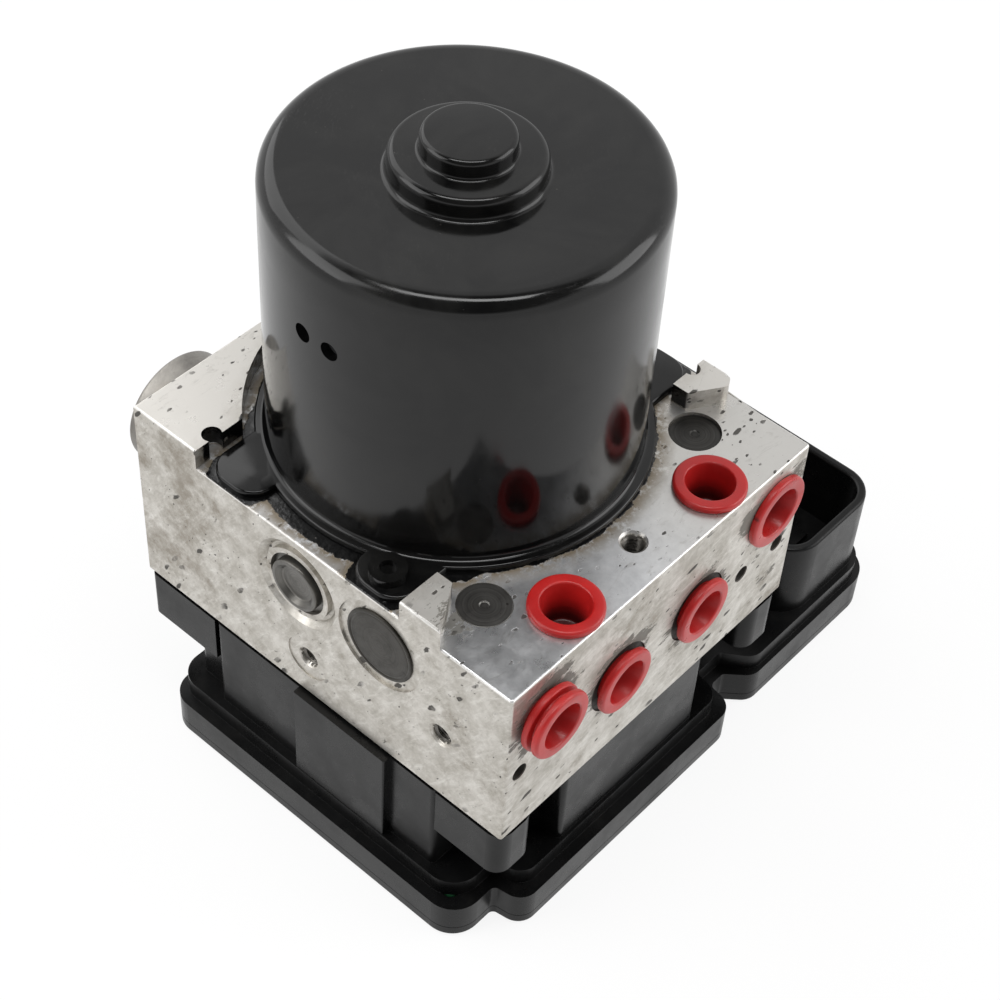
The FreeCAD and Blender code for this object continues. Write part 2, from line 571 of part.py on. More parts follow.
def can_profile():
    """Half section of the drawn can: flange, wall, shoulder, dished top, boss and knob."""
    radius, wall, top = size("can_radius"), size("can_wall"), size("can_height")
    sheet, flange, bend = size("flange_sheet"), size("flange_radius"), size("flange_bend")
    dish, turn = size("can_dish"), size("can_round")
    boss, boss_top = size("boss_radius"), top - dish + size("boss_height")
    knob, knob_top = size("knob_radius"), boss_top + size("knob_height")
    outside = [(flange, 0, 0), (flange, sheet, size("flange_edge")), (radius, sheet, bend),
               (radius, top, turn), (boss, top - dish, size("boss_foot")),
               (boss, boss_top, size("boss_round")), (knob, boss_top, size("knob_foot")),
               (knob, knob_top, size("knob_round")), (0, knob_top, 0)]
    inside = [(0, knob_top - wall, 0), (knob - wall, knob_top - wall, 0), (knob - wall, boss_top - wall, 0),
              (boss - wall, boss_top - wall, 0), (boss - wall, top - dish - wall, 0),
              (radius - wall, top - wall, turn - wall), (radius - wall, 0, 0)]
    return outside + inside


def motor_can():
    """The can with its four flange ears, two of them drilled, and two small holes in its left side."""
    can = turned("can_shell", can_profile(), ("0", "0", DECK))
    ears = new_body("can_ears", DECK)
    root, tip, turn = size("ear_root"), size("ear_reach"), size("ear_round")
    near, far = size("ear_y") - size("ear_half"), size("ear_y") + size("ear_half")
    rear = [(root, near, 0), (tip, near, turn), (tip, far, turn), (root, far, 0)]
    front = [(x, -y, radius) for x, y, radius in reversed(rear)]
    pad(ears, "ear_sheet", mirrored_pair(rear) + mirrored_pair(front), "flange_sheet")
    holes = [rod("can_mouth", "can_radius - can_wall", "flange_sheet", ("0", "0", DECK))]
    for index, (x, y) in enumerate(motor_screw_places()):
        holes.append(rod(f"ear_hole_{index}", f"screw_radius + {FIT}", "flange_sheet", (x, y, DECK)))
    spread, middle = size("can_hole_spread"), 180 - size("can_hole_turn")
    for index, turned_by in enumerate((middle - spread, middle + spread)):
        level = f"{DECK} + can_hole_level"
        hole = rod(f"can_hole_{index}", "can_hole_radius", "can_radius + can_wall", ("0", "0", level))
        hole.Placement = Placement(hole.Placement.Base, Rotation(Vector(0, 0, 1), turned_by) * TURN["x"])
        holes.append(hole)
    keep(cut("motor_can_cut", fuse("motor_can_solid", [can, ears]), holes), "motor_can")


def motor_screws():
    """Round head screws with a recessed socket in the two drilled ears."""
    screws = []
    for index, (x, y) in enumerate(motor_screw_places()):
        shank = rod(f"screw_shank_{index}", f"screw_radius - {FIT}", "screw_long", (x, y, FLANGE_TOP), "-z")
        head = rod(f"screw_head_{index}", "screw_head_radius", "screw_head_high", (x, y, FLANGE_TOP))
        socket = rod(f"screw_socket_{index}", "screw_socket", "screw_socket_depth",
                     (x, y, f"{FLANGE_TOP} + screw_head_high"), "-z")
        solid = fuse(f"motor_screw_{index}_solid", [shank, head])
        screws.append(cut(f"motor_screw_{index}", solid, [socket]))
    keep(fuse("motor_screw_set", screws), "motor_screws")


def rotor():
    """Shaft with its eccentric, core, winding and commutator, which turn together."""
    ecc_low = f"({PUMP_Z} - eccentric_high / 2)"
    bearing_low = f"({SHAFT_TOP} - rear_bearing_high)"
    shaft = [
        rod("shaft_stub", "stub_radius", "stub_long", ("0", "0", f"{ecc_low} - stub_long")),
        rod("shaft_eccentric", "eccentric_radius", "eccentric_high", ("eccentricity", "0", ecc_low)),
        rod("shaft_body", "shaft_radius", f"{bearing_low} - {ecc_low} - eccentric_high",
            ("0", "0", f"{ecc_low} + eccentric_high")),
        rod("shaft_top", "shaft_top_radius", "rear_bearing_high", ("0", "0", bearing_low)),
    ]
    keep(fuse("rotor_shaft_solid", shaft), "rotor_shaft")
    low = f"({DECK} + core_low)"
    slots, bars = [], []
    for index in range(int(size("slot_count"))):
        angle = 360 / size("slot_count") * index
        for group, prefix in ((slots, "slot"), (bars, "bar")):
            item = DOC.addObject("Part::Box", f"{prefix}_{index}")
            bind(item, Length="slot_deep", Width="slot_wide", Height="core_high")
            turn = Rotation(Vector(0, 0, 1), angle)
            inner = size("core_radius") - size("slot_deep") - size("slot_cover")
            base = turn.multVec(Vector(inner, -size("slot_wide") / 2, 0))
            item.Placement = Placement(base, turn)
            bind(item, at_z=low)
            group.append(item)
    core = rod("core_blank", "core_radius", "core_high", ("0", "0", low))
    slots.append(rod("core_bore", "shaft_radius", "core_high", ("0", "0", low)))
    keep(cut("armature_core_cut", core, slots), "armature_core")
    ring_out, ring_in = "core_radius - slot_cover", "core_radius - slot_deep - slot_cover"
    ends = [tube("winding_low", ring_out, ring_in, "winding_rise", ("0", "0", f"{low} - winding_rise")),
            tube("winding_top", ring_out, ring_in, "winding_rise", ("0", "0", f"{low} + core_high"))]
    keep(fuse("armature_winding_solid", bars + ends), "armature_winding")
    keep(tube("commutator_ring", "commutator_radius", "shaft_radius", "commutator_high",
              ("0", "0", f"{DECK} + commutator_low")), "commutator")


def bearings():
    """Ball bearings shown as solid rings, and the needle ring on the eccentric."""
    seat = ("0", "0", f"{DECK} - front_bearing_seat")
    outer, inner = f"front_bearing_radius - {FIT}", f"shaft_radius + {FIT}"
    keep(tube("front_bearing_ring", outer, inner, "front_bearing_high", seat), "front_bearing")
    seat = ("0", "0", f"{SHAFT_TOP} - rear_bearing_high")
    outer, inner = f"knob_radius - can_wall - {FIT}", f"shaft_top_radius + {FIT}"
    keep(tube("rear_bearing_ring", outer, inner, "rear_bearing_high", seat), "rear_bearing")
    seat = ("eccentricity", "0", f"{PUMP_Z} - eccentric_high / 2")
    outer, inner = f"eccentric_radius + {FIT} + eccentric_ring_wall", f"eccentric_radius + {FIT}"
    keep(tube("eccentric_ring_tube", outer, inner, "eccentric_high", seat), "eccentric_ring")


def magnets():
    """Two arc magnets glued inside the can."""
    outer = size("can_radius") - size("can_wall")
    inner = outer - size("magnet_thick")
    half = math.radians(size("magnet_angle") / 2)
    for name, middle in (("magnet_left", math.pi), ("magnet_right", 0)):
        body = new_body(name + "_body", f"{DECK} + core_low + core_high / 2 - magnet_high / 2")
        ends = [(radius, middle + side * half) for radius in (inner, outer) for side in (-1, 1)]
        spots = [Vector(radius * math.cos(angle), radius * math.sin(angle), 0) for radius, angle in ends]
        mids = [Vector(radius * math.cos(middle), radius * math.sin(middle), 0) for radius in (inner, outer)]
        outline = [Part.Arc(spots[0], mids[0], spots[1]), Part.LineSegment(spots[1], spots[3]),
                   Part.Arc(spots[3], mids[1], spots[2]), Part.LineSegment(spots[2], spots[0])]
        pad(body, name + "_arc", [outline], "magnet_high")
        keep(body, name)


def brush_gear():
    """End plate with two brush holders, the brushes and the springs behind them."""
    rim, bore = f"can_radius - can_wall - {FIT}", f"front_bearing_radius + {FIT}"
    plate = tube("plate_disc", rim, bore, "end_plate_thick", ("0", "0", DECK))
    brush_low = "(commutator_low + commutator_high / 2 - brush_high / 2)"
    high = f"({brush_low} + brush_high + holder_wall - end_plate_thick)"
    near = "(commutator_radius + holder_gap)"
    solids, holes = [plate], []
    outer_wide, channel_long = "brush_wide + 2 * holder_wall", "(holder_long - holder_wall)"
    for name, sign in (("front", "-"), ("rear", "")):
        middle = ("0", f"{sign}({near} + holder_long / 2)", f"{DECK} + end_plate_thick")
        solids.append(brick(f"holder_{name}", outer_wide, "holder_long", high, middle))
        middle = ("0", f"{sign}({near} + {channel_long} / 2)", f"{DECK} + {brush_low}")
        holes.append(brick(f"channel_{name}", "brush_wide", channel_long, "brush_high", middle))
        brush = brick(f"brush_{name}_block", f"brush_wide - 2 * {FIT}", "brush_long", f"brush_high - {FIT}",
                      ("0", f"{sign}(commutator_radius + {FIT} + brush_long / 2)", f"{DECK} + {brush_low}"))
        keep(brush, f"brush_{name}")
        room = (size("holder_gap") + size("holder_long") - size("holder_wall") - size("running_fit")
                - size("brush_long"))
        end = f"{sign}(commutator_radius + {FIT} + brush_long)"
        at, facing = ("0", end, f"{DECK} + {brush_low} + brush_high / 2"), {"-": "-y", "": "y"}[sign]
        spring(f"brush_spring_{name}", "brush_wire", "brush_spring_radius", "brush_turns", room, at, facing)
    lead = rod("lead_hole", "lead_radius", "end_plate_thick", ("0", "lead_y", DECK))
    keep(cut("motor_end_plate_cut", fuse("end_plate_solid", solids), holes + [lead]), "motor_end_plate")


def seal_and_lead():
    """The seal in its groove under the can and the lead through the block to the circuit board."""
    groove = ("0", "0", f"{DECK} - seal_depth")
    keep(tube("motor_seal_ring", "seal_inner + seal_width", "seal_inner", "seal_depth", groove), "motor_seal")
    board_top = "(cover_thick + rim_height)"
    high = "block_height + end_plate_thick"
    body = rod("lead_body", f"lead_radius - {FIT}", high, ("0", "lead_y", BLOCK_BASE))
    pin = rod("lead_pin_rod", "lead_pin", f"{BLOCK_BASE} - {board_top}", ("0", "lead_y", board_top))
    keep(fuse("motor_lead_solid", [body, pin]), "motor_lead")


def rim_outline(inset, back_inset, wing_inset):
    """Plan of the control unit's rim: main box, notched front corners and the connector wing."""
    half, front = size("block_width") / 2, -size("axis_setback")
    left, near = -half - size("rim_side") + inset, front - size("rim_front") + inset
    rear = size("back_reach") - size("rim_back")
    back, wing_back, bend = rear - back_inset, rear - size("wing_back") - wing_inset, size("wing_round")
    wing, wing_near = half + size("wing_reach") - wing_inset, front + size("wing_front") + wing_inset
    turn, lobe, root, lean = size("rim_round"), size("lobe_round"), size("corner_root"), size("corner_lean")
    notch_left, notch_right = left + size("corner_cut_x"), -left - size("corner_cut_right")
    notch_y, far_wall = near + size("corner_cut_y"), notch_right + size("wing_notch") + inset + wing_inset
    return [
        (left, notch_y, size("corner_swell")), (notch_left, notch_y, root), (notch_left + lean, near, lobe),
        (notch_right - lean, near, lobe), (notch_right, notch_y, root), (far_wall, notch_y, root),
        (far_wall + size("wing_lean"), wing_near, lobe), (wing, wing_near, bend), (wing, wing_back, bend),
        (-left, wing_back, turn), (-left, back, turn), (left, back, turn),
    ]


def wall_outline():
    """Plan of the housing's walls below the corner collars."""
    half, front = size("block_width") / 2, -size("axis_setback")
    panel, near = size("front_panel_half"), front + size("front_panel_inset")
    inner, side, turn = front + size("recess_depth"), half - size("collar_wide"), size("wall_round")
    low, far = front + size("collar_front"), size("back_reach") - size("rear_wall_inset")
    notch, narrow = front + size("side_wall_back"), half - size("rear_wall_narrow")
    right = [(panel, near, turn), (panel, inner, turn), (side, inner, turn), (side, low, turn),
             (half, low, turn), (half, notch, turn), (narrow, notch, 0), (narrow, far, turn)]
    return right + [(-x, y, radius) for x, y, radius in reversed(right)]


def collar_outlines():
    """Plans of the four corner collars that the screws pass through."""
    half, front, turn = size("block_width") / 2, -size("axis_setback"), size("collar_round")
    back = size("back_reach")
    wide, low, high = size("collar_wide"), front + size("collar_front"), back - size("collar_back")
    near = [(half - wide, low, 0), (half - wide, front, turn), (half, front, turn), (half, low, 0)]
    end, tight = back - size("collar_back_inset"), size("collar_back_round")
    far = [(half, high, 0), (half, end, tight), (half - wide, end, tight), (half - wide, high, 0)]
    return mirrored_pair(near) + mirrored_pair(far)


def shroud_outline(inset):
    half, front, turn = size("block_width") / 2, -size("axis_setback"), size("shroud_round") - inset
    left, right = half + size("shroud_left") + inset, half + size("shroud_right") - inset
    near, far = front + size("shroud_front") + inset, front + size("shroud_back") - inset
    return [(left, near, turn), (right, near, turn), (right, far, turn), (left, far, turn)]


def board_room(gap):
    """Plan of the room in the rim that the board lies in, less a gap."""
    wall, turn = size("housing_wall") + gap, size("board_round")
    half, front = size("block_width") / 2, -size("axis_setback")
    side, wing = half + size("rim_side") - wall, half + size("wing_reach") - wall
    back = size("back_reach") - size("rim_back") - wall
    wing_back, near = back - size("wing_back"), front + size("corner_cut_y") + wall
    return [(-side, near, turn), (wing, near, turn), (wing, wing_back, turn), (side, wing_back, turn),
            (side, back, turn), (-side, back, turn)]


def valve_room(margin):
    """Plan of the room over the board that holds the coils; a margin makes it larger."""
    wall, turn = size("housing_wall") - margin, size("inner_round")
    half, front = size("block_width") / 2, -size("axis_setback")
    near, low = front + size("recess_depth") + wall, front + size("collar_front") + wall
    far = size("back_reach") - size("rear_wall_inset") - wall
    neck, side = half - size("collar_wide") - wall, half - size("rear_wall_narrow") - wall
    right = [(neck, near, turn), (neck, low, turn), (side, low, turn), (side, far, turn)]
    return right + [(-x, y, radius) for x, y, radius in reversed(right)]


def header_room():
    """Middle and half sizes of the pin header's window in the shroud's floor."""
    middle_x = size("block_width") / 2 + (size("shroud_left") + size("shroud_right")) / 2
    middle_y = (size("shroud_front") + size("shroud_back")) / 2 - size("axis_setback")
    return middle_x, middle_y, size("header_wide") / 2, size("header_long") / 2


def ecu_housing():
    """Moulded housing: rim, ledge, walls, corner collars, proud side panel and connector shroud."""
    body = new_body("housing_body")
    rim, ledge = "cover_thick", "cover_thick + rim_height"
    pad(body, "housing_rim", [rounded(rim_outline(0, 0, 0))], "rim_height", rim)
    upper = rim_outline(size("ledge_inset"), size("ledge_back_inset"), size("wing_ledge_inset"))
    pad(body, "housing_ledge", [rounded(upper)], "ledge_height", ledge)
    pad(body, "housing_walls", [rounded(wall_outline())], "wall_height", LEDGE_TOP)
    collar_low = f"{HOUSING_TOP} - collar_height"
    pad(body, "housing_collars", collar_outlines(), "collar_height", collar_low)
    half, front, turn = size("block_width") / 2, -size("axis_setback"), size("side_panel_round")
    low, high = front + size("side_panel_low"), front + size("side_panel_high")
    face, inner = -half - size("side_panel_stand"), -half + size("housing_wall") / 2
    panel = [(face, low, turn), (inner, low, 0), (inner, high, 0), (face, high, turn)]
    panel_low = f"{LEDGE_TOP} - ledge_height / 2"
    pad(body, "side_panel", [rounded(panel)], "wall_height + ledge_height / 2", panel_low)
    shroud_high = "wall_height + gasket_thick - shroud_drop"
    pad(body, "shroud_wall", [rounded(shroud_outline(0))], shroud_high, LEDGE_TOP)
    hollow = [rounded(shroud_outline(size("shroud_wall")))]
    pocket(body, "shroud_inside", hollow, f"{shroud_high} - shroud_floor", f"{BLOCK_BASE} - shroud_drop")
    pocket(body, "board_room", [rounded(board_room(0))], "rim_height", ledge)
    pocket(body, "valve_room", [rounded(valve_room(0))], "wall_height + ledge_height", HOUSING_TOP)
    x, y, wide, long = header_room()
    window = [(x - wide, y - long, 0), (x + wide, y - long, 0), (x + wide, y + long, 0),
              (x - wide, y + long, 0)]
    floor = f"{LEDGE_TOP} + shroud_floor"
    pocket(body, "header_window", [rounded(window)], "shroud_floor + ledge_height", floor)
    holes = []
    for index, (x, y) in enumerate(ecu_screw_places()):
        at = (x, y, collar_low)
        holes.append(rod(f"collar_hole_{index}", f"screw_radius + {FIT}", "collar_height", at))
        holes.append(rod(f"counterbore_{index}", "counterbore_radius", "counterbore_depth", at))
    keep(cut("ecu_housing_cut", body, holes), "ecu_housing")


def ecu_cover():
    body = new_body("cover_body")
    pad(body, "cover_plate", [rounded(rim_outline(0, 0, 0))], "cover_thick")
    keep(body, "ecu_cover")


def ecu_gasket():
    """Thin seal between the housing's wall and the block, set in from the wall's outer edge."""
    body = new_body("gasket_body", HOUSING_TOP)
    outer = valve_room(size("housing_wall") - size("gasket_inset"))
    pad(body, "gasket_ring", [rounded(outer), rounded(valve_room(0))], "gasket_thick")
    keep(body, "ecu_gasket")


def ecu_screws():
    """Screws through the corner collars, heads below."""
    screws = []
    low = f"({HOUSING_TOP} - collar_height + counterbore_depth)"
    for index, (x, y) in enumerate(ecu_screw_places()):
        shank = rod(f"ecu_shank_{index}", f"screw_radius - {FIT}", "ecu_screw_long", (x, y, low))
        head = rod(f"ecu_head_{index}", "ecu_screw_head_radius", "ecu_screw_head_high", (x, y, low), "-z")
        face = f"{low} - ecu_screw_head_high"
        socket = rod(f"ecu_socket_{index}", "screw_socket", "screw_socket_depth", (x, y, face))
        solid = fuse(f"ecu_screw_{index}_solid", [shank, head])
        screws.append(cut(f"ecu_screw_{index}", solid, [socket]))
    keep(fuse("ecu_screw_set", screws), "ecu_screws")


def circuit_board():
    body = new_body("board_body", "cover_thick + rim_height - board_thick")
    pad(body, "board_plate", [rounded(board_room(size("board_gap")))], "board_thick")
    keep(body, "circuit_board")


def connector():
    """Header block in the shroud's floor with three rows of pins and two power blades."""
    x = f"{HALF} + (shroud_left + shroud_right) / 2"
    y = "(shroud_front + shroud_back) / 2 - axis_setback"
    low = "(cover_thick + rim_height)"
    high = f"({LEDGE_TOP} + shroud_floor - {low} + header_rise)"
    wide, long = f"header_wide - 2 * {FIT}", f"header_long - 2 * {FIT}"
    blank = brick("header_blank", wide, long, high, (x, y, low))
    rows, columns = int(size("pin_rows")), int(size("pin_columns"))
    pins, blades, sockets = [], [], []
    for row in range(rows):
        for column in range(columns):
            across, along = row - (rows - 1) / 2, column - (columns - 1) / 2
            at = (f"{x} + {across} * pin_pitch_x", f"{y} + {along} * pin_pitch_y", low)
            pins.append(brick(f"pin_{row}_{column}", "pin_wide", "pin_wide", f"{high} + pin_high", at))
            sockets.append(brick(f"pin_socket_{row}_{column}", "pin_wide", "pin_wide", high, at))
    for index, sign in enumerate(("-", "+")):
        at = (x, f"{y} {sign} blade_offset", low)
        blades.append(brick(f"blade_{index}", "blade_wide", "blade_thick", f"{high} + pin_high", at))
        sockets.append(brick(f"blade_socket_{index}", "blade_wide", "blade_thick", high, at))
    keep(cut("pin_header_cut", blank, sockets), "pin_header")
    keep(fuse("pin_set", pins), "connector_pins")
    keep(fuse("blade_set", blades), "power_blades")


def check_and_write():
    """Recompute, look for failed objects and write each piece."""
    DOC.recompute()
    for item in DOC.Objects:
        if "Invalid" in item.State or "Error" in item.State:
            raise ValueError(f"{item.Name} failed: {item.State}")
    os.makedirs("parts", exist_ok=True)
    for node in NODES:
        shape = node.Shape
        if shape.isNull() or not shape.isValid() or not shape.Solids:
            raise ValueError(node.Label + " has no valid solid")
        shape.exportStep(f"parts/{node.Label}.step")
    print(len(NODES), "pieces")


def build():
    hydraulic_block()
    port_plugs()
    closing_discs()
    side_caps()
    pump_pistons()
    accumulators()
    valves()
    coil_carrier()
    motor_can()
    motor_screws()
    rotor()
    bearings()
    magnets()
    brush_gear()
    seal_and_lead()
    ecu_housing()
    ecu_cover()
    ecu_gasket()
    ecu_screws()
    circuit_board()
    connector()
    check_and_write()


build()
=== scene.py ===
import json
import logging
import math
from dataclasses import dataclass, field
from enum import Enum
from typing import Callable, Sequence

import bmesh
import bpy
from bpy.types import Material, Node, NodeSocket, Object
from mathutils import Euler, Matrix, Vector

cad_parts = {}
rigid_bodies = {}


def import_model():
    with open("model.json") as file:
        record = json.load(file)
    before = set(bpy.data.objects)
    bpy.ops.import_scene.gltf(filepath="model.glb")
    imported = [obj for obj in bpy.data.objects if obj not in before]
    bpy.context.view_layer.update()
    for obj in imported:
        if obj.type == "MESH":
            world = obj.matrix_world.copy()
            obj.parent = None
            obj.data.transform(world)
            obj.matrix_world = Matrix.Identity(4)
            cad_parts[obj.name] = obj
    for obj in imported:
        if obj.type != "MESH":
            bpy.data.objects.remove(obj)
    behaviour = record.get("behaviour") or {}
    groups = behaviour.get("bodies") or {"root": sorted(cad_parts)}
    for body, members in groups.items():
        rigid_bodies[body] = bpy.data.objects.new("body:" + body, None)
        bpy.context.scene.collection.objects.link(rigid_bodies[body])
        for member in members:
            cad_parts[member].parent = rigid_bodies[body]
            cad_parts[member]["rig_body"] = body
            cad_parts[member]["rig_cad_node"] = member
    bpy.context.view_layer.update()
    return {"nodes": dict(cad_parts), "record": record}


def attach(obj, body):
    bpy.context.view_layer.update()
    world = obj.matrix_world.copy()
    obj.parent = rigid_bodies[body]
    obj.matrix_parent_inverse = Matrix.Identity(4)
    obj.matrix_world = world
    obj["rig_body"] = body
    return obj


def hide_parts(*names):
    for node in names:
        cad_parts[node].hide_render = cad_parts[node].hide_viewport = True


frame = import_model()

MM = 0.001
DECK, TOP, BASE = 93.1, 98.5, 44.5
HALF, FRONT, BACK = 50.0, -61.2, 49.8
PLAIN_AREA = 4e-6
PUMP_LEVEL = 79.3
LOG = logging.getLogger("brake_unit")

Corner = tuple[float, float, float]
Colour = tuple[float, float, float]
Test = Callable[[Vector, Vector], bool]
Turned = tuple[Corner, ...]


class Axis(Enum):
    """Direction that a turned piece's own Z axis is laid along, as Euler angles in degrees."""

    UP = (0.0, 0.0, 0.0)
    FRONT = (90.0, 0.0, 0.0)
    BACK = (-90.0, 0.0, 0.0)
    LEFT = (0.0, -90.0, 0.0)
    RIGHT = (0.0, 90.0, 0.0)


# ---------------------------------------------------------------- bench work


def only(piece: Object) -> None:
    """Select one object alone and make it the active one.

    Args:
        piece: The object to select.
    """
    if bpy.context.mode != "OBJECT":
        bpy.ops.object.mode_set(mode="OBJECT")
    bpy.ops.object.select_all(action="DESELECT")
    piece.hide_set(False)
    piece.select_set(True)
    bpy.context.view_layer.objects.active = piece


def edit(piece: Object) -> None:
    """Open one object alone in edit mode, with nothing in it selected.

    Args:
        piece: The mesh object to open.
    """
    only(piece)
    bpy.ops.object.mode_set(mode="EDIT")
    bpy.ops.mesh.select_mode(type="VERT")
    bpy.ops.mesh.select_all(action="DESELECT")


def pick_edges(piece: Object, angle: float, test: Test) -> int:
    """Select the sharp edges of the open mesh that pass a test.

    Args:
        piece: The object in edit mode.
        angle: Least angle between an edge's two faces, in degrees.
        test: Takes an edge's middle in millimetres and its direction.

    Returns:
        How many edges are selected.
    """
    bpy.ops.mesh.select_mode(type="EDGE")
    net = bmesh.from_edit_mesh(piece.data)
    count = 0
    for edge in net.edges:
        if len(edge.link_faces) != 2 or edge.calc_face_angle(0) < math.radians(angle):
            continue
        ends = [vert.co / MM for vert in edge.verts]
        if test((ends[0] + ends[1]) / 2, (ends[1] - ends[0]).normalized()):
            edge.select_set(True)
            count += 1
    bmesh.update_edit_mesh(piece.data)
    return count


def clean(piece: Object) -> None:
    """Merge doubled points of the open mesh and turn its faces outwards.

    Args:
        piece: The object in edit mode; not used.
    """
    bpy.ops.mesh.select_all(action="SELECT")
    bpy.ops.mesh.remove_doubles(threshold=2e-6)
    bpy.ops.mesh.normals_make_consistent(inside=False)
    bpy.ops.object.mode_set(mode="OBJECT")


def smooth(piece: Object, angle: float = 32.0) -> Object:
    """Shade a piece smooth up to an angle.

    Args:
        piece: The finished mesh.
        angle: Edges sharper than this stay sharp, in degrees.

    Returns:
        The same piece.
    """
    only(piece)
    bpy.ops.object.shade_smooth_by_angle(angle=math.radians(angle), keep_sharp_edges=True)
    return piece


def rounded(corners: Sequence[Corner], steps: int = 6) -> list[tuple[float, float]]:
    """Replace each rounded corner of a chain by a short run of points.

    Args:
        corners: (radius, height, rounding) of each corner in millimetres.
        steps: Parts that each rounding is divided into.

    Returns:
        The chain's points as (radius, height).
    """
    points: list[tuple[float, float]] = []
    for index, (across, up, turn) in enumerate(corners):
        here = Vector((across, up))
        if not turn or index in (0, len(corners) - 1):
            points.append((across, up))
            continue
        back = (Vector(corners[index - 1][:2]) - here).normalized()
        ahead = (Vector(corners[index + 1][:2]) - here).normalized()
        half = back.angle(ahead) / 2
        centre = here + (back + ahead).normalized() * (turn / math.sin(half))
        first = here + back * (turn / math.tan(half)) - centre
        sweep = math.pi - 2 * half
        sense = 1.0 if first.y * back.x - first.x * back.y > 0 else -1.0
        for step in range(steps + 1):
            angle = sense * sweep * step / steps
            spot = centre + Vector((first.x * math.cos(angle) - first.y * math.sin(angle),
                                    first.x * math.sin(angle) + first.y * math.cos(angle)))
            points.append((spot.x, spot.y))
    return points


def lay(piece: Object, at: Vector, axis: Axis) -> Object:
    """Turn a piece to its axis, move it to its place and apply both to its mesh.

    Args:
        piece: The object to place.
        at: Its place in millimetres.
        axis: The direction for its own Z.

    Returns:
        The same piece, its object at the origin.
    """
    piece.rotation_euler = Euler([math.radians(angle) for angle in axis.value])
    piece.location = at * MM
    only(piece)
    bpy.ops.object.transform_apply(location=True, rotation=True, scale=True)
    return piece


def lathe(name: str, corners: Sequence[Corner], at: Vector, axis: Axis = Axis.UP,
          turns: int = 96) -> Object:
    """Turn a profile round its own Z axis, by extruding its line point by point and spinning it.

    Args:
        name: Name of the new piece.
        corners: (radius, height, rounding) of each corner in millimetres.
        at: Place of the profile's zero in millimetres.
        axis: Direction of the turning axis.
        turns: Steps round the axis.

    Returns:
        The new piece.
    """
    points = [Vector((across * MM, 0.0, up * MM)) for across, up in rounded(corners)]
    bpy.ops.object.select_all(action="DESELECT")
    bpy.ops.mesh.primitive_plane_add(size=MM, location=points[0])
    piece = bpy.context.object
    piece.name = name
    piece.data.name = name
    bpy.ops.object.transform_apply(location=True, rotation=True, scale=True)
    bpy.ops.object.mode_set(mode="EDIT")
    bpy.ops.mesh.select_mode(type="VERT")
    bpy.ops.mesh.select_all(action="SELECT")
    bpy.ops.mesh.merge(type="CENTER")
    for before, after in zip(points, points[1:]):
        bpy.ops.mesh.extrude_region_move(TRANSFORM_OT_translate={"value": after - before})
    bpy.ops.mesh.select_all(action="SELECT")
    bpy.ops.mesh.spin(steps=turns, angle=math.tau, center=(0, 0, 0), axis=(0, 0, 1))
    clean(piece)
    return smooth(lay(piece, at, axis))


def twin(piece: Object, name: str, shift: Vector) -> Object:
    """Copy a piece with its own mesh and move the copy's mesh.

    Args:
        piece: The finished piece.
        name: Name of the copy.
        shift: How far the copy stands from it, in millimetres.

    Returns:
        The copy.
    """
    only(piece)
    bpy.ops.object.duplicate(linked=False)
    copy = bpy.context.object
    copy.name = name
    copy.data.name = name
    return lay(copy, shift, Axis.UP)


def box(size: Sequence[float], middle: Sequence[float]) -> Object:
    """Add a plain block, with its size and place applied.

    Args:
        size: Its three sides in millimetres.
        middle: Its middle in millimetres.

    Returns:
        The block.
    """
    bpy.ops.object.select_all(action="DESELECT")
    bpy.ops.mesh.primitive_cube_add(size=1, location=[place * MM for place in middle],
                                    scale=[side * MM for side in size])
    bpy.ops.object.transform_apply(location=True, rotation=True, scale=True)
    return bpy.context.object


def rod(radius: float, length: float, middle: Sequence[float], lean: float = 0.0, sides: int = 32) -> Object:
    """Add a plain round bar, with its size, turn and place applied.

    Args:
        radius: Its radius in millimetres.
        length: Its length in millimetres.
        middle: Its middle in millimetres.
        lean: How far it is turned about X from upright, in degrees.
        sides: Flat sides round it.

    Returns:
        The bar.
    """
    bpy.ops.object.select_all(action="DESELECT")
    bpy.ops.mesh.primitive_cylinder_add(vertices=sides, radius=radius * MM, depth=length * MM,
                                        location=[place * MM for place in middle],
                                        rotation=(math.radians(lean), 0, 0))
    bpy.ops.object.transform_apply(location=True, rotation=True, scale=True)
    return bpy.context.object


def merged(node: str, name: str) -> Object:
    """Copy a CAD node and merge the copy's loose triangles.

    Args:
        node: The CAD node to copy.
        name: Name of the new piece.

    Returns:
        The new piece.
    """
    only(frame["nodes"][node])
    bpy.ops.object.duplicate(linked=False)
    piece = bpy.context.object
    piece.name = name
    piece.data.name = name
    piece.parent = None
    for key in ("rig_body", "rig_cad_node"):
        if key in piece:
            del piece[key]
    edit(piece)
    bpy.ops.mesh.select_all(action="SELECT")
    bpy.ops.mesh.remove_doubles(threshold=2e-6)
    bpy.ops.object.mode_set(mode="OBJECT")
    return piece


def plain(face: object) -> bool:
    """Whether a face is a large one that lies square to an axis."""
    size = face.area if hasattr(face, "area") else face.calc_area()
    return size > PLAIN_AREA and max(abs(part) for part in face.normal) > 0.99999


def crease(piece: Object, least: float = 8.0) -> None:
    """Keep the outlines of the plain faces crisp where a shallow slope begins.

    Args:
        piece: The object in edit mode.
        least: Least angle of such an outline, in degrees.
    """
    net = bmesh.from_edit_mesh(piece.data)
    for edge in net.edges:
        if len(edge.link_faces) == 2 and edge.calc_face_angle(0) > math.radians(least):
            if any(plain(side) for side in edge.link_faces):
                edge.smooth = False
    bmesh.update_edit_mesh(piece.data)


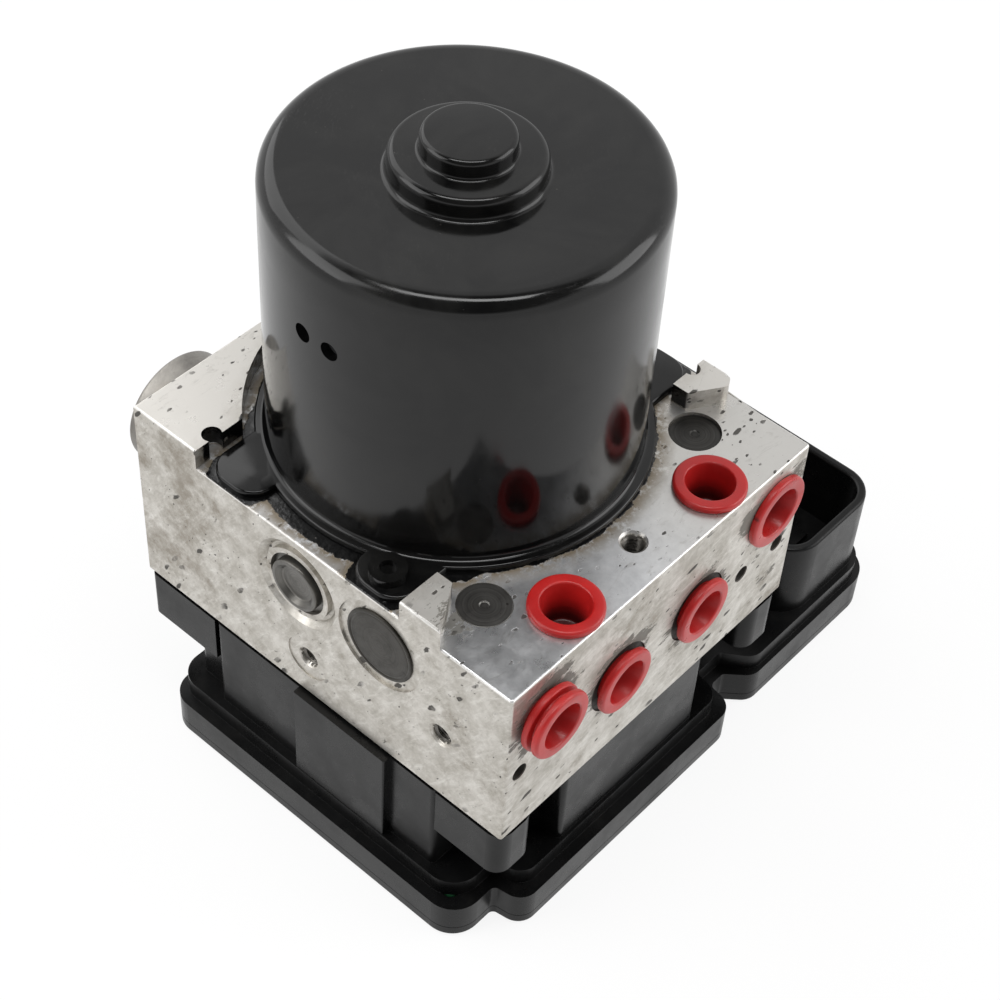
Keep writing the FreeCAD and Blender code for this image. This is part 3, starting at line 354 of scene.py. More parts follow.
def split_plain(piece: Object, places: Sequence[float]) -> None:
    """Cut the plain faces along y, where the roundings of the open mesh are to end.

    Args:
        piece: The object in edit mode.
        places: Where to cut, in millimetres.
    """
    for place in places:
        bpy.ops.mesh.select_mode(type="FACE")
        bpy.ops.mesh.select_all(action="DESELECT")
        net = bmesh.from_edit_mesh(piece.data)
        for side in net.faces:
            side.select_set(plain(side) and abs(side.normal.y) < 0.5)
        bmesh.update_edit_mesh(piece.data)
        bpy.ops.mesh.bisect(plane_co=(0, place * MM, 0), plane_no=(0, 1, 0))


def soften(piece: Object, roundings: Sequence[tuple[float, int, Test]], angle: float = 32.0,
           clamp: bool = True, stops: Sequence[float] = ()) -> Object:
    """Round chosen edges of a merged piece, and shade its plain faces flat.

    Args:
        piece: The merged piece.
        roundings: For each pass, the width in millimetres, the segments and the edge test.
        angle: Edges flatter than this are left alone and shaded smooth, in degrees.
        clamp: Whether short edges nearby may narrow a rounding.
        stops: Places along y where a rounding may end, in millimetres.

    Returns:
        The same piece.
    """
    edit(piece)
    bpy.ops.mesh.select_all(action="SELECT")
    bpy.ops.mesh.dissolve_limited(angle_limit=math.radians(0.4))
    crease(piece)
    split_plain(piece, stops)
    for width, segments, test in roundings:
        bpy.ops.mesh.select_all(action="DESELECT")
        if pick_edges(piece, angle, test):
            bpy.ops.mesh.bevel(offset=width * MM, segments=segments, affect="EDGES",
                               clamp_overlap=clamp, loop_slide=clamp)
    bpy.ops.object.mode_set(mode="OBJECT")
    smooth(piece, angle)
    for face in piece.data.polygons:
        if plain(face):
            face.use_smooth = False
    return piece


def combine(base: Object, tool: Object, operation: str) -> Object:
    """Join a tool to a piece or cut it out, and delete the tool.

    Args:
        base: The piece that stays.
        tool: The piece that is used up.
        operation: UNION or DIFFERENCE.

    Returns:
        The changed piece.
    """
    only(base)
    modifier = base.modifiers.new("combine", "BOOLEAN")
    modifier.operation = operation
    modifier.object = tool
    modifier.solver = "EXACT"
    bpy.ops.object.modifier_apply(modifier=modifier.name)
    bpy.data.objects.remove(tool, do_unlink=True)
    return base


# ---------------------------------------------------------------- finishes


class Graph:
    """The node tree of one material, with a short call for each kind of node the finishes use."""

    def __init__(self, name: str) -> None:
        """Start a material with a Principled shader that is joined to its output.

        Args:
            name: The material's name.
        """
        self.material = bpy.data.materials.new(name)
        self.material.use_nodes = True
        self.tree = self.material.node_tree
        self.tree.nodes.clear()
        output = self.tree.nodes.new("ShaderNodeOutputMaterial")
        self.shader = self.tree.nodes.new("ShaderNodeBsdfPrincipled")
        self.tree.links.new(self.shader.outputs[0], output.inputs[0])
        self.coords = self.tree.nodes.new("ShaderNodeTexCoord")
        self.place = self.coords.outputs["Object"]

    def feed(self, socket: NodeSocket, value: object) -> None:
        """Link a socket into another, or set a plain value on it.

        Args:
            socket: The input socket.
            value: A socket, a number or a colour.
        """
        if isinstance(value, NodeSocket):
            self.tree.links.new(value, socket)
        elif isinstance(value, tuple) and socket.type == "RGBA":
            socket.default_value = (*value, 1.0)
        else:
            socket.default_value = value

    def node(self, kind: str, **inputs: object) -> Node:
        """Add a node and feed its inputs by name, with underscores for spaces.

        Args:
            kind: The node's type.
            inputs: Values or sockets for its inputs.

        Returns:
            The new node.
        """
        node = self.tree.nodes.new(kind)
        for name, value in inputs.items():
            self.feed(node.inputs[name.replace("_", " ")], value)
        return node

    def set(self, **inputs: object) -> None:
        """Feed the Principled shader's inputs by name, with underscores for spaces."""
        for name, value in inputs.items():
            self.feed(self.shader.inputs[name.replace("_", " ")], value)

    def part(self, index: int) -> NodeSocket:
        """One coordinate of the place on the piece, 0 for X, 1 for Y, 2 for Z."""
        return self.node("ShaderNodeSeparateXYZ", Vector=self.place).outputs[index]

    def facing(self, index: int) -> NodeSocket:
        """One coordinate of the surface's direction, 0 for X, 1 for Y, 2 for Z."""
        return self.node("ShaderNodeSeparateXYZ", Vector=self.coords.outputs["Normal"]).outputs[index]

    def mapped(self, stretch: Vector, turn: Vector = Vector()) -> NodeSocket:
        """The place on the piece on turned axes, along which a pattern is drawn out.

        Args:
            stretch: How many times longer the pattern is along each turned axis.
            turn: Turn of the axes in degrees.

        Returns:
            The mapped place.
        """
        mapping = self.node("ShaderNodeMapping", Vector=self.place)
        mapping.vector_type = "TEXTURE"
        mapping.inputs["Scale"].default_value = stretch
        mapping.inputs["Rotation"].default_value = [math.radians(angle) for angle in turn]
        return mapping.outputs[0]

    def stirred(self, amount: float, scale: float, vector: NodeSocket | None = None) -> NodeSocket:
        """A place moved about by noise, so that the edges of a pattern on it are ragged.

        Args:
            amount: How far it is moved, in millimetres.
            scale: Features of the noise per metre.
            vector: Place to move instead of the piece's own.

        Returns:
            The moved place.
        """
        place = vector or self.place
        noise = self.node("ShaderNodeTexNoise", Vector=place, Scale=scale, Detail=3.0)
        move = self.tree.nodes.new("ShaderNodeVectorMath")
        move.operation = "MULTIPLY_ADD"
        self.feed(move.inputs[0], noise.outputs["Color"])
        move.inputs[1].default_value = [amount * MM] * 3
        self.feed(move.inputs[2], place)
        return move.outputs[0]

    def noise(self, scale: float, detail: float = 4.0, rough: float = 0.6,
              vector: NodeSocket | None = None, bend: float = 0.0) -> NodeSocket:
        """Fractal noise with a value about one half.

        Args:
            scale: Features per metre.
            detail: Octaves.
            rough: How strong the finer octaves are.
            vector: Place to read instead of the piece's own.
            bend: Distortion.

        Returns:
            The noise value.
        """
        node = self.node("ShaderNodeTexNoise", Vector=vector or self.place, Scale=scale, Detail=detail,
                         Roughness=rough, Distortion=bend)
        return node.outputs[0]

    def cells(self, scale: float, vector: NodeSocket | None = None) -> NodeSocket:
        """Distance to the nearest of scattered points, from 0 at a point.

        Args:
            scale: Points per metre.
            vector: Place to read instead of the piece's own.

        Returns:
            The distance, in cells.
        """
        return self.node("ShaderNodeTexVoronoi", Vector=vector or self.place, Scale=scale).outputs["Distance"]

    def spots(self, scale: float, size: float, share: float, vector: NodeSocket | None = None) -> NodeSocket:
        """Scattered spots of differing size.

        Args:
            scale: Places for a spot per metre.
            size: Radius of the largest, in parts of the room between places.
            share: Share of the places that hold a spot.
            vector: Place to read instead of the piece's own.

        Returns:
            1 in a spot and 0 elsewhere.
        """
        node = self.node("ShaderNodeTexVoronoi", Vector=vector or self.place, Scale=scale)
        chance = self.node("ShaderNodeSeparateColor", Color=node.outputs["Color"])
        reach = self.times(chance.outputs[1], size)
        inside = self.between(self.math("SUBTRACT", node.outputs["Distance"], reach), -0.06, 0.0, 1.0, 0.0)
        return self.times(inside, self.math("LESS_THAN", chance.outputs[0], share))

    def ring(self, centre: Corner, axis: int) -> NodeSocket:
        """Distance in millimetres from a straight axis, alike on the left and the right of the object.

        Args:
            centre: A point of the right one of the two axes, in millimetres.
            axis: 0, 1 or 2 for an axis along X, Y or Z.

        Returns:
            The distance.
        """
        squares: object = 0.0
        for index in {0, 1, 2} - {axis}:
            part = self.math("ABSOLUTE", self.part(0)) if index == 0 else self.part(index)
            off = self.math("SUBTRACT", part, centre[index] * MM)
            squares = self.math("ADD", squares, self.times(off, off))
        return self.math("DIVIDE", self.math("SQRT", squares), MM)

    def math(self, operation: str, first: object, second: object = 0.0) -> NodeSocket:
        """Combine two values by one operation of the Math node."""
        node = self.tree.nodes.new("ShaderNodeMath")
        node.operation = operation
        self.feed(node.inputs[0], first)
        self.feed(node.inputs[1], second)
        return node.outputs[0]

    def times(self, first: object, second: object) -> NodeSocket:
        """The product of two values."""
        return self.math("MULTIPLY", first, second)

    def most(self, first: object, second: object) -> NodeSocket:
        """The greater of two values."""
        return self.math("MAXIMUM", first, second)

    def span(self, index: int, low: float, high: float, start: float = 0.0, end: float = 1.0) -> NodeSocket:
        """A value that runs from start to end between two places along one axis.

        Args:
            index: The axis, 0 for X, 1 for Y, 2 for Z.
            low: Place of start, in millimetres.
            high: Place of end, in millimetres.
            start: Value up to low.
            end: Value from high on.

        Returns:
            The value.
        """
        return self.between(self.part(index), low * MM, high * MM, start, end)

    def between(self, value: NodeSocket, low: float, high: float, start: float = 0.0,
                end: float = 1.0) -> NodeSocket:
        """Map a value from one range to another, held at both ends.

        Args:
            value: The value.
            low: Value that gives start.
            high: Value that gives end.
            start: Result at low.
            end: Result at high.

        Returns:
            The mapped value.
        """
        node = self.node("ShaderNodeMapRange")
        node.clamp = True
        self.feed(node.inputs[0], value)
        for index, number in enumerate((low, high, start, end), start=1):
            node.inputs[index].default_value = number
        return node.outputs[0]

    def mix(self, share: object, first: object, second: object) -> NodeSocket:
        """Blend two colours.

        Args:
            share: How much of the second.
            first: Colour or socket.
            second: Colour or socket.

        Returns:
            The blended colour.
        """
        node = self.tree.nodes.new("ShaderNodeMix")
        node.data_type = "RGBA"
        self.feed(node.inputs[0], share)
        self.feed(node.inputs[6], first)
        self.feed(node.inputs[7], second)
        return node.outputs[2]

    def blend(self, share: object, first: object, second: object) -> NodeSocket:
        """Blend two numbers.

        Args:
            share: How much of the second.
            first: Number or socket.
            second: Number or socket.

        Returns:
            The blended number.
        """
        node = self.tree.nodes.new("ShaderNodeMix")
        self.feed(node.inputs[0], share)
        self.feed(node.inputs[2], first)
        self.feed(node.inputs[3], second)
        return node.outputs[0]

    def bump(self, height: NodeSocket, depth: float, under: NodeSocket | None = None) -> NodeSocket:
        """Relief of a height field.

        Args:
            height: The field, 0 to 1.
            depth: Its depth in millimetres.
            under: Relief that this one lies on.

        Returns:
            The bumped direction.
        """
        node = self.node("ShaderNodeBump", Height=height, Distance=depth * MM, Strength=1.0)
        if under is not None:
            self.feed(node.inputs["Normal"], under)
        return node.outputs[0]

    def away(self, x: float, y: float, swell: float = 0.0) -> NodeSocket:
        """Distance in millimetres from an upright line, made ragged by noise.

        Args:
            x: The line's X in millimetres.
            y: The line's Y in millimetres.
            swell: How ragged, in millimetres.

        Returns:
            The distance.
        """
        across = self.math("SUBTRACT", self.part(0), x * MM)
        along = self.math("SUBTRACT", self.part(1), y * MM)
        squares = self.math("ADD", self.times(across, across), self.times(along, along))
        distance = self.math("DIVIDE", self.math("SQRT", squares), MM)
        if not swell:
            return distance
        ragged = self.times(self.math("SUBTRACT", self.noise(260, 6, 0.7), 0.5), 2 * swell)
        return self.math("ADD", distance, ragged)


@dataclass(frozen=True)
class Metal:
    """A bare metal with mottling, fine scratches and dark pits."""

    name: str
    light: Colour
    dark: Colour
    roughness: float = 0.35
    metallic: float = 1.0
    grain: float = 0.01
    pits: float = 0.1
    stain: Colour = (0.2, 0.15, 0.1)
    stained: float = 0.2

    def make(self) -> Material:
        """Build the material."""
        graph = Graph(self.name)
        mottle = graph.between(graph.noise(170, 5, 0.65), 0.35, 0.68)
        colour = graph.mix(mottle, self.light, self.dark)
        stain = graph.between(graph.noise(45, 4, 0.6), 0.55, 0.75, 0.0, self.stained)
        colour = graph.mix(stain, colour, self.stain)
        pits = graph.between(graph.cells(900), 0.08, 0.22, self.pits, 0.0)
        colour = graph.mix(pits, colour, (0.03, 0.025, 0.02))
        scratch = graph.noise(4800, 3, 0.6, graph.mapped(Vector((12, 1, 1)), Vector((0, 0, 31))))
        graph.set(Base_Color=colour, Metallic=self.metallic,
                  Roughness=graph.between(scratch, 0.3, 0.7, self.roughness - 0.08, self.roughness + 0.12),
                  Normal=graph.bump(graph.noise(1500, 3, 0.6), self.grain))
        return graph.material


@dataclass(frozen=True)
class TurnedMetal:
    """A dull steel face with fine rings about its middle, smudges and dark specks."""

    name: str
    centre: Corner
    axis: int
    light: Colour
    dark: Colour
    roughness: float = 0.36

    def make(self) -> Material:
        """Build the material."""
        graph = Graph(self.name)
        line = graph.node("ShaderNodeCombineXYZ", X=graph.ring(self.centre, self.axis)).outputs[0]
        rings = graph.noise(2.4, 3, 0.6, line)
        colour = graph.mix(graph.between(rings, 0.35, 0.65), self.light, self.dark)
        smudge = graph.between(graph.noise(190, 6, 0.7), 0.45, 0.68, 0.0, 0.7)
        colour = graph.mix(smudge, colour, self.dark)
        specks = graph.spots(700, 0.3, 0.3, graph.stirred(0.5, 900))
        colour = graph.mix(graph.times(specks, 0.8), colour, (0.02, 0.017, 0.014))
        graph.set(Base_Color=colour, Metallic=0.8,
                  Roughness=graph.between(smudge, 0.0, 0.7, self.roughness - 0.05, self.roughness + 0.12),
                  Normal=graph.bump(rings, 0.02))
        return graph.material


@dataclass(frozen=True)
class Plastic:
    """A moulded or rubbery surface with a fine grain and dusty patches."""

    name: str
    light: Colour
    dark: Colour
    roughness: float = 0.4
    grain: float = 0.01
    dust: Colour = (0.1, 0.1, 0.1)
    dusty: float = 0.15
    specular: float = 0.5

    def shade(self, graph: Graph, colour: NodeSocket) -> NodeSocket:
        """The colour as the surface's place changes it, here not at all."""
        return colour

    def make(self) -> Material:
        """Build the material."""
        graph = Graph(self.name)
        graph.shader.inputs["Specular IOR Level"].default_value = self.specular
        colour = graph.mix(graph.between(graph.noise(90, 5, 0.6), 0.35, 0.65), self.light, self.dark)
        dust = graph.between(graph.noise(140, 8, 0.72), 0.5, 0.72, 0.0, self.dusty)
        colour = graph.mix(dust, colour, self.dust)
        specks = graph.between(graph.cells(700), 0.03, 0.09, self.dusty * 2, 0.0)
        colour = graph.mix(specks, colour, self.dust)
        graph.set(Base_Color=self.shade(graph, colour),
                  Roughness=graph.between(graph.noise(60, 6, 0.7), 0.35, 0.65, self.roughness - 0.07,
                                          self.roughness + 0.12),
                  Normal=graph.bump(graph.noise(2600, 2, 0.5), self.grain))
        return graph.material


@dataclass(frozen=True)
class PlugPlastic(Plastic):
    """Satin red plastic of the plugs, with painted shade down in their hollows."""

    # Colour of the painted shade down in the plugs' hollows.
    grime_and_hollow_shade: Colour = (0.035, 0.002, 0.002)

    def shade(self, graph: Graph, colour: NodeSocket) -> NodeSocket:
        """The colour with painted shade, darker the deeper it lies below the deck or behind the front face.
        """
        across = graph.math("ABSOLUTE", graph.part(0))
        on_deck = graph.times(graph.span(2, 83.5, 84), graph.between(across, 30.8 * MM, 31.2 * MM, 1.0, 0.0))
        on_deck = graph.most(on_deck, graph.span(2, 92.4, 92.6))
        below = graph.span(2, 91.0, 86.5, 0.0, 0.93)
        behind = graph.span(1, -60.5, -55.5, 0.0, 0.93)
        # Painted shade: the hollows darken towards this colour with depth.
        return graph.mix(graph.blend(on_deck, behind, below), colour, self.grime_and_hollow_shade)


@dataclass(frozen=True)
class CanPaint:
    """Gloss black paint of the motor can, with wipe marks, fine scuffs and a little dust."""

    name: str = "gloss_black_paint"
    colour: Colour = (0.003, 0.003, 0.0031)
    worn: Colour = (0.011, 0.0108, 0.0102)
    roughness: float = 0.09

    def make(self) -> Material:
        """Build the material."""
        graph = Graph(self.name)
        smear = graph.between(graph.noise(38, 7, 0.66, bend=0.8), 0.42, 0.72)
        scuff_lines = graph.noise(9800, 2, 0.5, graph.mapped(Vector((14, 1, 1)), Vector((0, 0, 24))))
        scuffs = graph.times(graph.between(scuff_lines, 0.66, 0.72),
                             graph.between(graph.noise(70, 3), 0.52, 0.62))
        colour = graph.mix(smear, self.colour, self.worn)
        colour = graph.mix(graph.times(scuffs, 0.4), colour, (0.03, 0.028, 0.026))
        specks = graph.spots(420, 0.09, 0.35)
        colour = graph.mix(graph.times(specks, 0.6), colour, (0.07, 0.065, 0.058))
        orange_peel = graph.bump(graph.noise(300, 2, 0.4), 0.006)
        graph.set(Base_Color=colour, Roughness=graph.between(smear, 0.0, 1.0, self.roughness, 0.24),
                  Normal=graph.bump(scuffs, 0.006, orange_peel))
        graph.shader.inputs["Specular IOR Level"].default_value = 0.33
        return graph.material


@dataclass(frozen=True)
class BlockMetal:
    """Milled aluminium of the block: streaked, pitted sides, a swirled deck and a black motor seat."""

    name: str = "milled_aluminium"
    side: Colour = (0.63, 0.605, 0.56)
    side_dark: Colour = (0.42, 0.395, 0.35)
    deck: Colour = (0.68, 0.685, 0.695)
    deck_dark: Colour = (0.52, 0.525, 0.535)
    pale_streak: Colour = (0.84, 0.82, 0.78)
    dark_streak: Colour = (0.3, 0.275, 0.235)
    swirl: Colour = (0.75, 0.75, 0.75)
    scuff: Colour = (0.27, 0.255, 0.23)
    # Colour of the painted highlight along the broken edges of the deck.
    painted_edge_highlight: Colour = (0.93, 0.92, 0.9)
    warm: Colour = (0.59, 0.57, 0.535)
    # Colour of the painted shade that makes the deck warmer and darker to the right.
    right_deck_shade: Colour = (0.53, 0.515, 0.485)
    smear: Colour = (0.12, 0.112, 0.094)
    brown: Colour = (0.2, 0.165, 0.12)
    # Dark of the pits, and of the painted shade inside the front drillings.
    grime_and_hollow_shade: Colour = (0.03, 0.026, 0.021)
    paint: Colour = (0.0035, 0.0035, 0.0036)
    seat_left: float = 47.6
    seat_right: float = 44.8
    ear_x: float = 43.6
    ear_y: float = 21.0
    ear_radius: float = 8.6
    ragged: float = 1.5
    front_plugs: tuple[Corner, ...] = ((39.3, 0, 80.1), (13.6, 0, 68.3))
    plug_reach: float = 8.6

    def flow(self, graph: Graph, length: float) -> NodeSocket:
        """Coordinates on which a pattern is drawn out along the streaks of its face.

        Args:
            graph: The material's nodes.
            length: How many times longer than wide it is.

        Returns:
            The coordinates.
        """
        sideways = graph.between(graph.math("ABSOLUTE", graph.facing(0)), 0.6, 0.62)
        front = graph.mapped(Vector((length, 1, 1)), Vector((0, -8, 0)))
        left = graph.mapped(Vector((length, 1, 1)), Vector((0, -53, -90)))
        return graph.mix(sideways, front, left)

    def side_colour(self, graph: Graph) -> NodeSocket:
        """Warm white metal with light and dark streaks and brown stains."""
        flow = graph.stirred(1.0, 260, self.flow(graph, 4.2))
        colour = graph.mix(graph.between(graph.noise(120, 9, 0.75), 0.38, 0.62), self.side, self.side_dark)
        light = graph.between(graph.noise(700, 7, 0.7, flow, 0.5), 0.5, 0.7, 0.0, 0.5)
        colour = graph.mix(light, colour, self.pale_streak)
        dark = graph.between(graph.noise(880, 8, 0.75, flow, 0.7), 0.54, 0.7, 0.0, 0.45)
        colour = graph.mix(dark, colour, self.dark_streak)
        rear = graph.between(graph.part(1), 0.0, 60 * MM, 0.0, 0.06)
        stain = graph.math("ADD", graph.noise(48, 10, 0.76), rear)
        return graph.mix(graph.between(stain, 0.53, 0.65, 0.0, 0.62), colour, self.brown)

    def deck_colour(self, graph: Graph) -> NodeSocket:
        """Bluish metal with swirls, turned warmer and darker to the right by painted shade, and warmer and
        lighter on the raised parts.
        """
        swirl = graph.math("SINE", graph.times(graph.cells(70, graph.stirred(2.5, 120)), 46.0))
        mottle = graph.between(graph.noise(150, 8, 0.7), 0.36, 0.66)
        colour = graph.mix(mottle, self.deck, self.deck_dark)
        colour = graph.mix(graph.between(swirl, 0.2, 1.0, 0.0, 0.14), colour, self.swirl)
        # Painted shade: the deck turns warmer and darker towards the right.
        right = graph.span(0, -8, 22, 0.0, 0.85)
        raised = graph.span(2, 96, 97)
        colour = graph.mix(right, colour, self.right_deck_shade)
        colour = graph.mix(raised, colour, self.warm)
        scuffs = graph.between(graph.noise(420, 6, 0.7, self.flow(graph, 3.0), 1.0), 0.56, 0.72, 0.0, 0.5)
        return graph.mix(scuffs, colour, self.scuff)

    def pits(self, graph: Graph) -> NodeSocket:
        """Share of the small dark pits, and of the painted shade on the inside of the drillings in the front
        face.
        """
        flow = graph.stirred(1.6, 620, self.flow(graph, 2.4))
        pits = graph.most(graph.spots(350, 0.31, 0.32, flow),
                          graph.spots(820, 0.4, 0.3, graph.stirred(0.9, 900, self.flow(graph, 1.8))))
        pits = graph.times(pits, graph.between(graph.noise(75, 4), 0.38, 0.52))
        # Painted shade: the walls of the bores just behind the front face are darkened as if in shadow.
        inside = graph.times(graph.span(1, -61.1, -60.8), graph.span(1, -58, -57.8, 1.0, 0.0))
        inside = graph.times(inside, graph.span(2, 92, 92.2, 1.0, 0.0))
        across = graph.math("ABSOLUTE", graph.part(0))
        inside = graph.times(inside, graph.between(across, 49 * MM, 49.2 * MM, 1.0, 0.0))
        return graph.most(pits, inside)

    def smears(self, graph: Graph) -> NodeSocket:
        """Share of the grey smears, which are thickest beside the front plugs, and of more dark grey near the
        foot of the left remnant.
        """
        stroke = graph.noise(170, 7, 0.72, graph.stirred(1.2, 500, self.flow(graph, 2.2)))
        # More dark grey gathers near the foot of the left remnant, round (-42, -40).
        more: object = graph.between(graph.away(-42, -40), 6.0, 2.0, 0.0, 0.16)
        front = graph.between(graph.facing(1), -0.8, -0.7, 1.0, 0.0)
        for plug in self.front_plugs:
            beside = graph.between(graph.ring(plug, 1), self.plug_reach + 7, self.plug_reach + 1, 0.0, 0.15)
            more = graph.most(more, graph.times(beside, front))
        return graph.between(graph.math("ADD", stroke, more), 0.64, 0.67)

    def reach(self, graph: Graph) -> NodeSocket:
        """Distance outwards from the ragged border of the motor seat's black, in millimetres."""
        seat = graph.span(0, -37, -28, self.seat_left, self.seat_right)
        reach = graph.math("SUBTRACT", graph.away(0, 0, self.ragged), seat)
        for x in (-self.ear_x, self.ear_x):
            for y in (-self.ear_y, self.ear_y):
                ear = graph.math("SUBTRACT", graph.away(x, y, self.ragged), self.ear_radius)
                reach = graph.math("MINIMUM", reach, ear)
        return reach

    def walls(self, graph: Graph) -> NodeSocket:
        """Share of the black on the upright walls about the motor pocket."""
        span = graph.between(graph.part(1), 0.0, 1 * MM, 52.8, 56.5)
        near = graph.between(graph.math("SUBTRACT", graph.away(0, 0, 1.0), span), -0.3, 0.3, 1.0, 0.0)
        upright = graph.between(graph.facing(2), 0.3, 0.5, 1.0, 0.0)
        high = graph.span(2, 93.3, 93.6)
        right = graph.times(graph.span(0, 29, 31), graph.span(1, -35, -34, 1.0, 0.0))
        share = graph.times(graph.times(near, upright), high)
        return graph.times(share, graph.math("SUBTRACT", 1.0, right))

    def make(self) -> Material:
        """Build the material."""
        graph = Graph(self.name)
        upward = graph.between(graph.facing(2), 0.6, 0.8)
        top = graph.times(upward, graph.span(2, 92.2, 92.7))
        bare = graph.mix(top, self.side_colour(graph), self.deck_colour(graph))
        # Painted highlight: the sloping faces of the broken deck edges are lightened, most along the left and
        # right sides.
        broken = graph.times(graph.between(graph.facing(2), 0.15, 0.4),
                             graph.between(graph.facing(2), 0.86, 0.98, 1.0, 0.0))
        broken = graph.times(broken, graph.span(2, 92.2, 92.3))
        along = graph.between(graph.math("ABSOLUTE", graph.part(0)), 49.0 * MM, 49.2 * MM, 0.1, 0.55)
        bare = graph.mix(graph.times(broken, along), bare, self.painted_edge_highlight)
        smears, pits = self.smears(graph), self.pits(graph)
        bare = graph.mix(graph.times(smears, 0.85), bare, self.smear)
        # Dark pits, and the painted shade inside the front drillings.
        bare = graph.mix(graph.times(pits, 0.92), bare, self.grime_and_hollow_shade)
        # Smears, pits and the painted-shade insides of the drillings, which also dull and roughen the metal.
        soiled_and_shaded = graph.most(smears, pits)
        reach = self.reach(graph)
        film = graph.times(graph.between(reach, 0.4, 4.6, 1.0, 0.0),
                           graph.between(graph.noise(300, 8, 0.75), 0.36, 0.5))
        film = graph.times(film, graph.span(2, 95, 97, 1.0, 0.25))
        film = graph.times(film, top)
        bare = graph.mix(film, bare, self.brown)
        black = graph.times(graph.between(reach, -0.1, 0.1, 1.0, 0.0), top)
        black = graph.most(black, self.walls(graph))
        chips = graph.times(graph.between(reach, -1.4, -0.2),
                            graph.spots(420, 0.4, 0.3, graph.stirred(1.5, 800)))
        black = graph.math("SUBTRACT", black, graph.times(chips, black))
        colour = graph.mix(black, bare, self.paint)
        dull = graph.span(2, 96, 97, 0.0, 0.35)
        dull = graph.most(dull, graph.times(graph.most(soiled_and_shaded, film), 0.6))
        metal = graph.math("SUBTRACT", 0.82, dull)
        metal = graph.times(metal, graph.math("SUBTRACT", 1.0, black))
        rough = graph.math("ADD", graph.blend(top, 0.42, 0.31),
                           graph.between(graph.noise(240, 5), 0.3, 0.7, -0.06, 0.1))
        rough = graph.math("ADD", rough, graph.times(soiled_and_shaded, 0.2))
        rough = graph.math("SUBTRACT", rough, graph.times(broken, 0.05))
        relief = graph.bump(graph.noise(1700, 3, 0.6), 0.012)
        relief = graph.bump(graph.math("SUBTRACT", 1.0, pits), 0.06, relief)
        lumps = graph.times(black, graph.between(graph.noise(260, 4, 0.6), 0.3, 0.7, 0.4, 1.0))
        graph.set(Base_Color=colour, Metallic=metal, Roughness=graph.blend(black, rough, 0.16),
                  Normal=graph.bump(lumps, 0.22, relief))
        return graph.material


def dress(piece: Object, material: Material) -> Object:
    """Give a piece one material.

    Args:
        piece: A new piece or a CAD node.
        material: Its finish.

    Returns:
        The same piece.
    """
    piece.data.materials.clear()
    piece.data.materials.append(material)
    return piece


@dataclass
class Palette:
    """The finishes of all pieces, built once, under the record's slot names."""

    made: dict[str, Material] = field(default_factory=dict)

    def build(self) -> "Palette":
        """Build every finish.

        Returns:
            The palette itself.
        """
        steel = (0.55, 0.54, 0.52)
        finishes = {
            "block_aluminium": BlockMetal(),
            "black_paint": CanPaint(),
            "plug_red": PlugPlastic("red_plug_plastic", (0.47, 0.013, 0.012), (0.37, 0.008, 0.008), 0.34,
                                    0.006, (0.5, 0.08, 0.07), 0.1),
            "dark_steel": Metal("dark_pressed_steel", (0.13, 0.122, 0.115), (0.085, 0.08, 0.075), 0.34),
            "light_steel": Metal("light_turned_steel", steel, (0.38, 0.37, 0.355), 0.28),
            "spring_steel": Metal("spring_wire", (0.4, 0.4, 0.41), (0.3, 0.3, 0.31), 0.25, pits=0.0),
            "valve_steel": Metal("valve_steel", (0.62, 0.61, 0.59), (0.5, 0.49, 0.48), 0.24, pits=0.0),
            "housing_black": Plastic("black_moulded_plastic", (0.004, 0.0041, 0.0042),
                                     (0.003, 0.003, 0.0031), 0.27, 0.012, (0.03, 0.028, 0.026), 0.16, 0.2),
            "seal_rubber": Plastic("black_rubber", (0.02, 0.02, 0.02), (0.012, 0.012, 0.012), 0.55),
            "core_iron": Metal("core_sheet_iron", (0.25, 0.25, 0.255), (0.16, 0.16, 0.165), 0.45),
            "copper": Metal("copper_wire", (0.72, 0.34, 0.17), (0.55, 0.22, 0.1), 0.28, pits=0.0),
            "magnet_ferrite": Metal("ferrite", (0.09, 0.09, 0.095), (0.06, 0.06, 0.063), 0.5, 0.3),
            "brush_carbon": Metal("carbon", (0.05, 0.05, 0.052), (0.03, 0.03, 0.032), 0.45, 0.4),
            "board_green": Plastic("board_lacquer", (0.03, 0.16, 0.06), (0.02, 0.11, 0.045), 0.3),
            "contact_tin": Metal("tinned_contact", (0.68, 0.67, 0.64), (0.5, 0.49, 0.47), 0.22, pits=0.0),
        }
        self.made = {slot: finish.make() for slot, finish in finishes.items()}
        disc = (35, -40.2, 0)
        for name, centre, axis, light, dark in (
                ("closing_disc_left_steel", disc, 2, (0.17, 0.165, 0.155), (0.09, 0.087, 0.082)),
                ("closing_disc_right_steel", disc, 2, (0.05, 0.048, 0.045), (0.028, 0.027, 0.025)),
                ("damper_cap_steel", (0, -24.6, 79.5), 0, (0.055, 0.051, 0.044), (0.03, 0.0275, 0.023)),
                ("pump_cap_steel", (0, 0, PUMP_LEVEL), 0, (0.17, 0.163, 0.15), (0.1, 0.096, 0.088))):
            self.made[name] = TurnedMetal(name, centre, axis, light, dark).make()
        self.made["cut_thread"] = Metal("cut_thread", (0.2, 0.19, 0.175), (0.07, 0.066, 0.06), 0.4).make()
        self.made["cap_aluminium"] = Metal("cast_aluminium", (0.28, 0.267, 0.245), (0.18, 0.17, 0.157), 0.42,
                                           stained=0.35).make()
        return self

    def dress_nodes(self) -> None:
        """Give every CAD node the finish of its slot in the record."""
        for subpart in frame["record"]["subparts"]:
            node = frame["nodes"][subpart["node"]]
            dress(node, self.made[subpart["material_slot"]])


# ---------------------------------------------------------------- sub-assemblies


